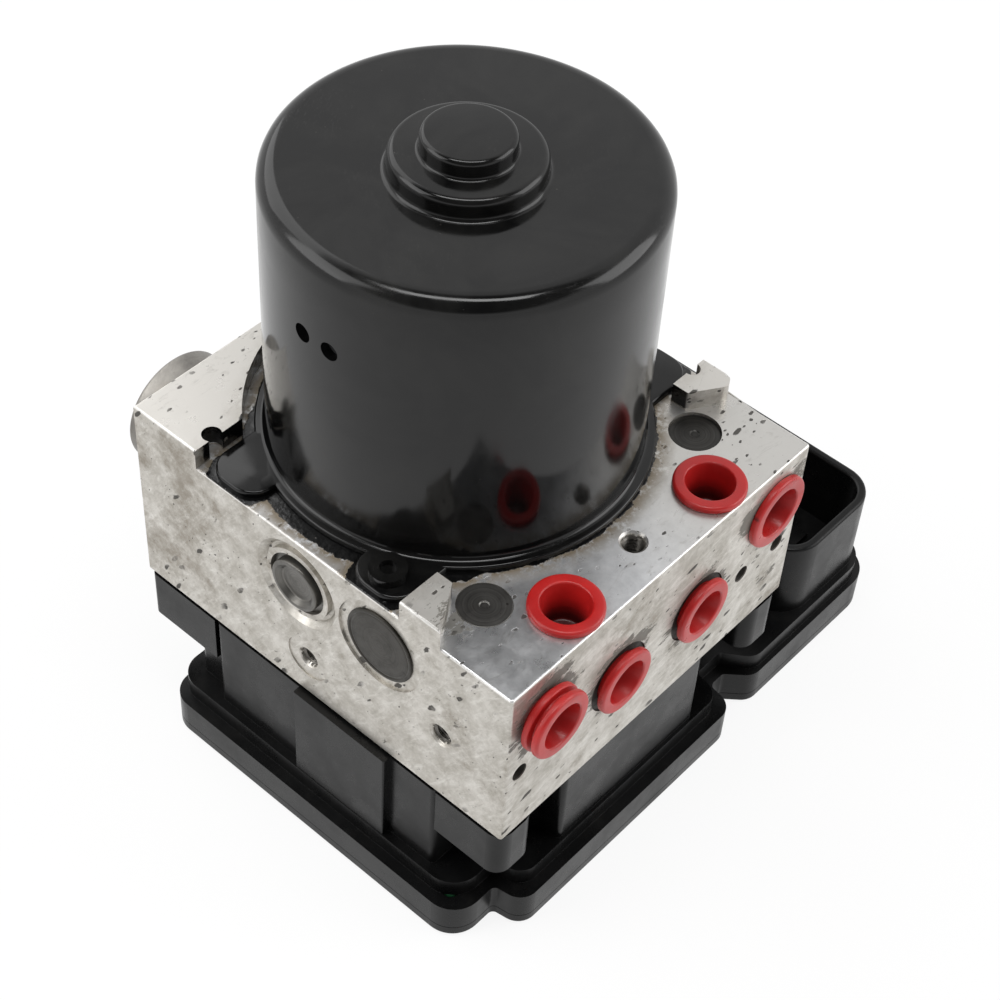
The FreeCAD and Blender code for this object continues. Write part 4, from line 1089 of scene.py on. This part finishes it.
def settle(piece: Object, node: str, material: Material, body: str = "unit") -> Object:
    """Dress a piece, ride it on its body and let it stand for a CAD node.

    Args:
        piece: The finished piece.
        node: The CAD node it stands for.
        material: Its finish.
        body: The CAD body it rides on.

    Returns:
        The same piece.
    """
    dress(piece, material)
    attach(piece, body)
    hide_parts(node)
    LOG.info("%s: %d faces, stands for %s", piece.name, len(piece.data.polygons), node)
    return piece


@dataclass
class MotorCan:
    """The drawn can with its flange, four ears, end boss, knob and two small side holes."""

    deck: float = DECK
    radius: float = 42.0
    wall: float = 2.2
    height: float = 72.9
    shoulder: float = 4.0
    dish: float = 1.8
    flange: float = 44.5
    sheet: float = 1.6
    boss: float = 16.3
    boss_high: float = 5.0
    knob: float = 9.9
    knob_high: float = 4.3
    ear_x: float = 43.6
    ear_y: float = 21.0
    ear_root: float = 34.0
    ear_reach: float = 49.0
    ear_half: float = 7.6
    ear_round: float = 6.0
    hole: float = 2.15
    hole_level: float = 51.3
    hole_spread: float = 5.1
    hole_turn: float = 1.4
    sides: int = 224

    def profile(self) -> list[Corner]:
        """Outside and inside of the can from the knob's middle round to its inner face."""
        low = self.height - self.dish
        boss_top = low + self.boss_high
        knob_top = boss_top + self.knob_high
        outside = [(0, knob_top, 0), (self.knob, knob_top, 1.2), (self.knob, boss_top, 0.8),
                   (self.boss, boss_top, 1.6), (self.boss, low, 1.2),
                   (self.radius, self.height, self.shoulder),
                   *[(self.radius, level, 0) for level in (60.0, 55.2, 54.1, 48.5, 47.4, 40.0, 20.0, 6.0)],
                   (self.radius, self.sheet, 1.2), (self.flange, self.sheet, 0.5), (self.flange, 0, 0.3)]
        wall, inner = self.wall, self.radius - self.wall
        inside = [(inner, 0, 0.2), (inner, self.height - wall, self.shoulder - wall),
                  (self.boss - wall, low - wall, 0), (self.boss - wall, boss_top - wall, 0),
                  (self.knob - wall, boss_top - wall, 0), (self.knob - wall, knob_top - wall, 0),
                  (0, knob_top - wall, 0)]
        return outside + inside

    def ear(self, x_side: int, y_side: int) -> Object:
        """One flange ear: a plate with two rounded corners and a softened top edge.

        Args:
            x_side: -1 for the left, 1 for the right.
            y_side: -1 for the front, 1 for the rear.

        Returns:
            The ear.
        """
        middle = (self.ear_root + self.ear_reach) / 2
        plate = box((self.ear_reach - self.ear_root, 2 * self.ear_half, self.sheet),
                    (x_side * middle, y_side * self.ear_y, self.deck + self.sheet / 2))
        edit(plate)
        pick_edges(plate, 40, lambda at, way: abs(way.z) > 0.9 and abs(at.x) > self.ear_reach - 1)
        bpy.ops.mesh.bevel(offset=self.ear_round * MM, segments=10, affect="EDGES")
        bpy.ops.mesh.select_all(action="DESELECT")
        pick_edges(plate, 40, lambda at, way: abs(way.z) < 0.1 and at.z > self.deck + 1)
        bpy.ops.mesh.bevel(offset=0.5 * MM, segments=3, affect="EDGES")
        bpy.ops.object.mode_set(mode="OBJECT")
        ring = rod((self.flange + self.radius) / 2, 8, (0, 0, self.deck), sides=self.sides)
        return combine(plate, ring, "DIFFERENCE")

    def side_hole(self, turned: float) -> Object:
        """A rod that drills one small hole in the left side.

        Args:
            turned: Angle about the motor axis in degrees.

        Returns:
            The rod.
        """
        angle = math.radians(turned)
        way = Vector((math.cos(angle), math.sin(angle), 0))
        bpy.ops.object.select_all(action="DESELECT")
        bpy.ops.mesh.primitive_cylinder_add(
            vertices=40, radius=self.hole * MM, depth=8 * MM,
            location=way * (self.radius - 1) * MM + Vector((0, 0, (self.deck + self.hole_level) * MM)),
            rotation=(0, math.radians(90), angle))
        bpy.ops.object.transform_apply(location=True, rotation=True, scale=True)
        return bpy.context.object

    def build(self, palette: Palette) -> Object:
        """Turn the can, join its ears, drill it and dress it.

        Args:
            palette: The finishes.

        Returns:
            The finished can.
        """
        can = lathe("motor_can_body", self.profile(), Vector((0, 0, self.deck)), turns=self.sides)
        for x_side in (-1, 1):
            for y_side in (-1, 1):
                combine(can, self.ear(x_side, y_side), "UNION")
        for spread in (-self.hole_spread, self.hole_spread):
            combine(can, self.side_hole(180 - self.hole_turn + spread), "DIFFERENCE")
        smooth(can, 32)
        return settle(can, "motor_can", palette.made["black_paint"])


@dataclass
class Block:
    """The hydraulic block, a merged copy of its solid with broken edges."""

    edge: float = 0.5
    drillings: tuple[tuple[float, float], ...] = ((-45.6, 65.5), (30.3, 65.4), (43.6, 65.3))
    drilling_radius: float = 2.2
    drilling_depth: float = 2.2
    tip_y: float = -41.6
    tip_size: float = 6.6
    tip_run: float = 11.3
    tip_rise: float = 7.2
    border: float = 0.6
    ending: float = 0.6
    steps: list[float] = field(default_factory=list)

    def remnant_tip(self) -> Object:
        """The sharp tip of the left remnant, a corner cut off along its slanting wall.

        Returns:
            The tip, a little longer than the rounding that it fills.
        """
        low, size = DECK - 0.5, self.tip_size
        tip = box((size, size, TOP - low), (size / 2 - HALF, self.tip_y + size / 2, (low + TOP) / 2))
        edit(tip)
        bpy.ops.mesh.select_all(action="SELECT")
        bpy.ops.mesh.bisect(plane_co=(-HALF * MM, self.tip_y * MM, 0), use_fill=True, clear_outer=True,
                            plane_no=(self.tip_rise, -self.tip_run, 0))
        bpy.ops.object.mode_set(mode="OBJECT")
        return tip

    def outer(self, at: Vector, way: Vector) -> bool:
        """Whether an edge is one of the block's long outer edges.

        Args:
            at: The edge's middle.
            way: The edge's direction.

        Returns:
            True for an edge to be broken.
        """
        on_deck = abs(at.z - DECK) < 0.02
        level = on_deck or abs(at.z - TOP) < 0.02 or abs(at.z - BASE) < 0.02
        border = abs(at.x) > HALF - self.border or at.y < FRONT + self.border or at.y > BACK - self.border
        ending = on_deck and any(abs(at.y - step) < self.ending for step in self.steps)
        return level and border and abs(way.z) < 0.01 and not ending

    def find_steps(self, block: Object) -> None:
        """Note where the raised level steps down to the deck along the block's sides.

        Args:
            block: The block before its edges are broken.
        """
        net = bmesh.new()
        net.from_mesh(block.data)
        for edge in net.edges:
            first, last = (vert.co / MM for vert in edge.verts)
            upright = abs(first.z - last.z) > 3 and abs(first.y - last.y) < 0.02
            outside = min(abs(first.x), abs(last.x)) > HALF - 0.02 and min(first.z, last.z) > DECK - 0.1
            if upright and outside and edge.calc_face_angle(0) > math.radians(8):
                self.steps.append(first.y)
        net.free()
        LOG.info("the sides step at %s", [round(step, 1) for step in self.steps])

    def build(self, palette: Palette) -> Object:
        """Copy, break the edges and dress.

        Args:
            palette: The finishes.

        Returns:
            The finished block.
        """
        block = combine(merged("hydraulic_block", "block_body"), self.remnant_tip(), "UNION")
        for x, z in self.drillings:
            drill = rod(self.drilling_radius, 2 * self.drilling_depth, (x, FRONT, z), 90)
            combine(block, drill, "DIFFERENCE")
        self.find_steps(block)
        stops = [step + shift for step in self.steps for shift in (-self.ending, self.ending)]
        soften(block, [(self.edge, 3, self.outer)], clamp=False, stops=stops)
        return settle(block, "hydraulic_block", palette.made["block_aluminium"])


@dataclass
class PortPlugs:
    """Six red push-in plugs: two on the deck, four in the front face."""

    deck_side: float = 24.0
    deck_setback: float = 8.3
    low_side: float = 13.6
    low_level: float = 23.8
    outer_side: float = 39.3
    outer_level: float = 35.6
    bore: float = 6.45
    flange: float = 8.3
    funnel: float = 6.2
    large_bore: float = 7.15
    large_flange: float = 9.3
    thick: float = 1.8
    wall: float = 0.85
    depth: float = 9.0
    taper: float = 0.9

    def profile(self, bore: float, flange: float, gap: float, pulled: bool = False) -> list[Corner]:
        """Half section of one hollow plug.

        Args:
            bore: Radius of its body.
            flange: Radius of its flange.
            gap: How far its flange stands from the face.
            pulled: Whether it has the second flange.

        Returns:
            The corners from the body's closed end round to its floor.
        """
        body = [(0, -self.depth, 0), (bore - self.taper, -self.depth, 0.5), (bore, gap, 0.0)]
        back = gap
        if pulled:
            body += [(flange, gap, 0.4), (flange, gap + 1.6, 0.4), (bore, gap + 1.6, 0.3)]
            back = gap + 2.7
            body += [(bore, back, 0.3)]
        face = back + self.thick
        floor = self.wall - self.depth
        inner = bore - self.wall
        return body + [(flange, back, 0.4), (flange, face, 0.75), (inner, face, 0.5),
                       (inner - 1.3, face - self.funnel, 0.6), (inner - 1.6, floor, 0.6), (0, floor, 0)]

    def build(self, palette: Palette) -> list[Object]:
        """Turn one plug of each kind, copy it to its places and dress all.

        Args:
            palette: The finishes.

        Returns:
            The six plugs.
        """
        low, high = BASE + self.low_level, BASE + self.outer_level
        top = self.profile(self.bore, self.flange, 0)
        lower = self.profile(self.bore, self.flange, 0.8)
        first = lathe("plug_deck_left", top, Vector((-self.deck_side, FRONT + self.deck_setback, DECK)))
        third = lathe("plug_front_pulled", self.profile(self.bore, self.flange, 0.9, True),
                      Vector((-self.outer_side, FRONT, high)), Axis.FRONT)
        fourth = lathe("plug_front_low_left", lower, Vector((-self.low_side, FRONT, low)), Axis.FRONT)
        sixth = lathe("plug_front_large", self.profile(self.large_bore, self.large_flange, 0),
                      Vector((self.outer_side, FRONT, high)), Axis.FRONT)
        plugs = [first, twin(first, "plug_deck_right", Vector((2 * self.deck_side, 0, 0))), third, fourth,
                 twin(fourth, "plug_front_low_right", Vector((2 * self.low_side, 0, 0))), sixth]
        for index, plug in enumerate(plugs, start=1):
            settle(plug, f"port_plug_{index}", palette.made["plug_red"])
        return plugs


@dataclass
class FaceCaps:
    """Closing discs on the deck, pump and damper caps on the sides, accumulator caps behind."""

    lip_drop: float = 0.3
    right_disc_drop: float = 0.7
    disc: Turned = ((0, -2.5, 0), (6.05, -2.5, 0), (6.05, -0.02, 0.3), (1.2, -0.02, 0.1), (0.9, -0.2, 0.1),
                    (0, -0.2, 0))
    pump: Turned = ((0, -8.1, 0), (8, -8.1, 0), (8, -1, 0.2), (6.65, -1, 0), (6.65, 1.1, 0.4),
                    (5.6, 1.1, 0.3), (4.4, -0.2, 0.5), (0, -0.2, 0))
    damper: Turned = ((0, -3.2, 0), (9.4, -3.2, 0), (9.4, -0.05, 0.3), (8.7, 0.0, 0.2), (8.4, -0.18, 0.1),
                      (8.0, -0.1, 0.1), (0, -0.1, 0))
    accumulator: Turned = ((0, -4, 0), (7.95, -4, 0), (7.95, 0, 0), (14, 0, 0.3), (14, 6, 1.0),
                           (9.5, 6, 0.3), (9.1, 5.6, 0.3), (0, 5.6, 0))

    def build(self, palette: Palette) -> None:
        """Turn every cap from its half section and dress it.

        Args:
            palette: The finishes.
        """
        for side, word in ((-1, "left"), (1, "right")):
            outwards = Axis.LEFT if side < 0 else Axis.RIGHT
            disc_level = DECK - (self.right_disc_drop if side > 0 else 0.0)
            disc_finish = f"closing_disc_{word}_steel"
            for kind, part, section, place, axis, finish, slot in (
                    ("closing_disc", "in_deck", self.disc, (35, -40.2, disc_level), Axis.UP, disc_finish,
                     "dark_steel"),
                    ("pump_cap", "body", self.pump, (HALF - self.lip_drop, 0, PUMP_LEVEL), outwards,
                     "pump_cap_steel", "light_steel"),
                    ("damper_cap", "body", self.damper, (HALF, -24.6, 79.5), outwards, "damper_cap_steel",
                     "dark_steel"),
                    ("accumulator_cap", "body", self.accumulator, (33.5, BACK, 83.5), Axis.BACK,
                     "cap_aluminium", "block_aluminium")):
                at = Vector((side * place[0], place[1], place[2]))
                cap = lathe(f"{kind}_{part}_{word}", section, at, axis)
                settle(cap, f"{kind}_{word}", palette.made[finish])


@dataclass
class ScrewThreads:
    """Cut threads in the deck's screw hole and in the two of the left side."""

    core: float = 2.05
    root: float = 2.62
    pitch: float = 1.0
    turns: int = 9
    mouth: float = 0.9

    def build(self, palette: Palette) -> None:
        """Turn one toothed sleeve, copy it to its holes and dress all.

        Args:
            palette: The finishes.
        """
        end = -self.mouth - self.turns * self.pitch
        teeth: list[Corner] = [(self.root + 0.2, end, 0), (self.root + 0.2, -self.mouth, 0)]
        for turn in range(self.turns):
            top = -self.mouth - turn * self.pitch
            teeth += [(self.root, top, 0), (self.core, top - self.pitch / 2, 0)]
        teeth += [(self.root, end, 0), (self.root + 0.2, end, 0)]
        holes = (("deck_hole_thread", Vector((0, -51.2, DECK)), Axis.UP),
                 ("side_hole_thread_front", Vector((-HALF, -42.8, 65.2)), Axis.LEFT),
                 ("side_hole_thread_middle", Vector((-49.7, -3.0, 56.5)), Axis.LEFT))
        for name, place, axis in holes:
            thread = dress(lathe(name, teeth, place, axis, 48), palette.made["cut_thread"])
            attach(thread, "unit")
            LOG.info("%s: %d faces", name, len(thread.data.polygons))


@dataclass
class ControlUnit:
    """The moulded housing and its cover, merged copies of their solids with rounded edges."""

    rim_top: float = 10.5
    ledge_top: float = 15.5
    shroud_top: float = 39.0

    def build(self, palette: Palette) -> None:
        """Copy, round and dress the housing and the cover.

        Args:
            palette: The finishes.
        """
        def level(height: float) -> Test:
            return lambda at, way: abs(at.z - height) < 0.02 and abs(way.z) < 0.01

        housing = soften(merged("ecu_housing", "housing_body"), [
            (1.6, 5, level(self.rim_top)), (1.8, 5, level(self.ledge_top)), (0.7, 3, level(self.shroud_top))])
        settle(housing, "ecu_housing", palette.made["housing_black"])
        cover = soften(merged("ecu_cover", "cover_body"), [(0.6, 3, level(0.0)), (0.25, 2, level(3.0))])
        settle(cover, "ecu_cover", palette.made["housing_black"])


# ---------------------------------------------------------------- studio


@dataclass
class Studio:
    """Camera at the photograph's angle, soft lamps, white surroundings and a plain floor."""

    place: tuple[float, float, float] = (-0.26063, -0.22414, 0.44040)
    angles: tuple[float, float, float] = (42.65239, -2.74196, -48.16905)
    lens: float = 79.206
    diffuse_light: float = 0.42
    floor_white: float = 0.88
    dim_way: tuple[float, float, float] = (-0.38, -0.325, 0.866)
    dim: float = 0.08

    def camera(self) -> None:
        """Set the camera."""
        bpy.ops.object.camera_add(location=self.place)
        camera = bpy.context.object
        camera.rotation_euler = Euler([math.radians(angle) for angle in self.angles])
        camera.data.lens = self.lens
        camera.data.sensor_width = 36.0
        camera.data.clip_start = 0.01
        bpy.context.scene.camera = camera

    def lamp(self, name: str, place: Vector, aim: Vector, size: tuple[float, float], power: float) -> None:
        """Hang one soft lamp.

        Args:
            name: Its name.
            place: Where it hangs, in metres.
            aim: What it faces.
            size: Its two sides in metres.
            power: Its power in watts.
        """
        bpy.ops.object.light_add(type="AREA", location=place)
        lamp = bpy.context.object
        lamp.name = name
        lamp.rotation_euler = (aim - place).to_track_quat("-Z", "Y").to_euler()
        lamp.data.shape = "RECTANGLE"
        lamp.data.size, lamp.data.size_y = size
        lamp.data.energy = power

    def seen_rays(self, tree: bpy.types.NodeTree) -> NodeSocket:
        """One for rays that the camera, a gloss or a glass sends.

        Args:
            tree: The node tree to add to.

        Returns:
            The value, 0 or 1.
        """
        path = tree.nodes.new("ShaderNodeLightPath")
        first = tree.nodes.new("ShaderNodeMath")
        second = tree.nodes.new("ShaderNodeMath")
        first.operation = second.operation = "MAXIMUM"
        tree.links.new(path.outputs["Is Camera Ray"], first.inputs[0])
        tree.links.new(path.outputs["Is Glossy Ray"], first.inputs[1])
        tree.links.new(first.outputs[0], second.inputs[0])
        tree.links.new(path.outputs["Is Transmission Ray"], second.inputs[1])
        return second.outputs[0]

    def surroundings(self) -> None:
        """White world for the camera, dimmer as light, with a dim part above the camera in reflections."""
        world = bpy.context.scene.world or bpy.data.worlds.new("studio")
        bpy.context.scene.world = world
        world.use_nodes = True
        tree = world.node_tree
        background = tree.nodes["Background"]
        background.inputs[0].default_value = (1, 1, 1, 1)
        strength = tree.nodes.new("ShaderNodeMapRange")
        tree.links.new(self.seen_rays(tree), strength.inputs[0])
        strength.inputs[3].default_value = self.diffuse_light
        strength.inputs[4].default_value = 1.0
        way = tree.nodes.new("ShaderNodeTexCoord")
        nearness = tree.nodes.new("ShaderNodeVectorMath")
        nearness.operation = "DOT_PRODUCT"
        tree.links.new(way.outputs["Generated"], nearness.inputs[0])
        nearness.inputs[1].default_value = self.dim_way
        dimmed = tree.nodes.new("ShaderNodeMapRange")
        tree.links.new(nearness.outputs["Value"], dimmed.inputs[0])
        for index, number in enumerate((0.55, 0.7, 1.0, self.dim), start=1):
            dimmed.inputs[index].default_value = number
        path = tree.nodes.new("ShaderNodeLightPath")
        reflected = tree.nodes.new("ShaderNodeMix")
        tree.links.new(path.outputs["Is Glossy Ray"], reflected.inputs[0])
        tree.links.new(strength.outputs[0], reflected.inputs[2])
        tree.links.new(dimmed.outputs[0], reflected.inputs[3])
        tree.links.new(reflected.outputs[0], background.inputs[1])

    def floor(self) -> None:
        """A plain floor just under the object, white where seen, keeping the shadow."""
        bpy.ops.object.select_all(action="DESELECT")
        bpy.ops.mesh.primitive_plane_add(size=6, location=(0, 0, -0.0004))
        ground = bpy.context.object
        ground.name = "studio_floor"
        bpy.ops.object.transform_apply(location=True, rotation=True, scale=True)
        material = bpy.data.materials.new("plain_floor")
        material.use_nodes = True
        tree = material.node_tree
        tree.nodes.clear()
        output = tree.nodes.new("ShaderNodeOutputMaterial")
        paint = tree.nodes.new("ShaderNodeBsdfDiffuse")
        paint.inputs[0].default_value = (0.9, 0.9, 0.9, 1)
        glow = tree.nodes.new("ShaderNodeEmission")
        mixer = tree.nodes.new("ShaderNodeMixShader")
        share = tree.nodes.new("ShaderNodeMath")
        share.operation = "MULTIPLY"
        share.inputs[1].default_value = self.floor_white
        tree.links.new(self.seen_rays(tree), share.inputs[0])
        tree.links.new(share.outputs[0], mixer.inputs[0])
        tree.links.new(paint.outputs[0], mixer.inputs[1])
        tree.links.new(glow.outputs[0], mixer.inputs[2])
        tree.links.new(mixer.outputs[0], output.inputs[0])
        ground.data.materials.append(material)

    def build(self) -> None:
        """Set up the whole studio."""
        bpy.context.scene.view_settings.view_transform = "Standard"
        self.camera()
        aim = Vector((0.01, 0.0, 0.07))
        self.lamp("top_lamp", Vector((-0.1, -0.085, 1.22)), aim, (0.8, 0.25), 5.5)
        self.lamp("left_lamp", Vector((-0.75, 0.6, 0.78)), aim, (0.8, 0.8), 6.0)
        self.lamp("right_lamp", Vector((0.72, -0.78, 0.65)), aim, (0.8, 0.8), 6.0)
        self.lamp("back_lamp", Vector((0.1, 1.0, 0.9)), aim, (0.9, 0.9), 4.0)
        self.surroundings()
        self.floor()


def main() -> None:
    """Build the studio, the finishes and every sub-assembly in order."""
    logging.basicConfig(level=logging.INFO, format="%(name)s %(message)s")
    Studio().build()
    palette = Palette().build()
    palette.dress_nodes()
    Block().build(palette)
    MotorCan().build(palette)
    PortPlugs().build(palette)
    FaceCaps().build(palette)
    ScrewThreads().build(palette)
    ControlUnit().build(palette)
    bpy.ops.object.select_all(action="DESELECT")


if __name__ == "__main__":
    main()
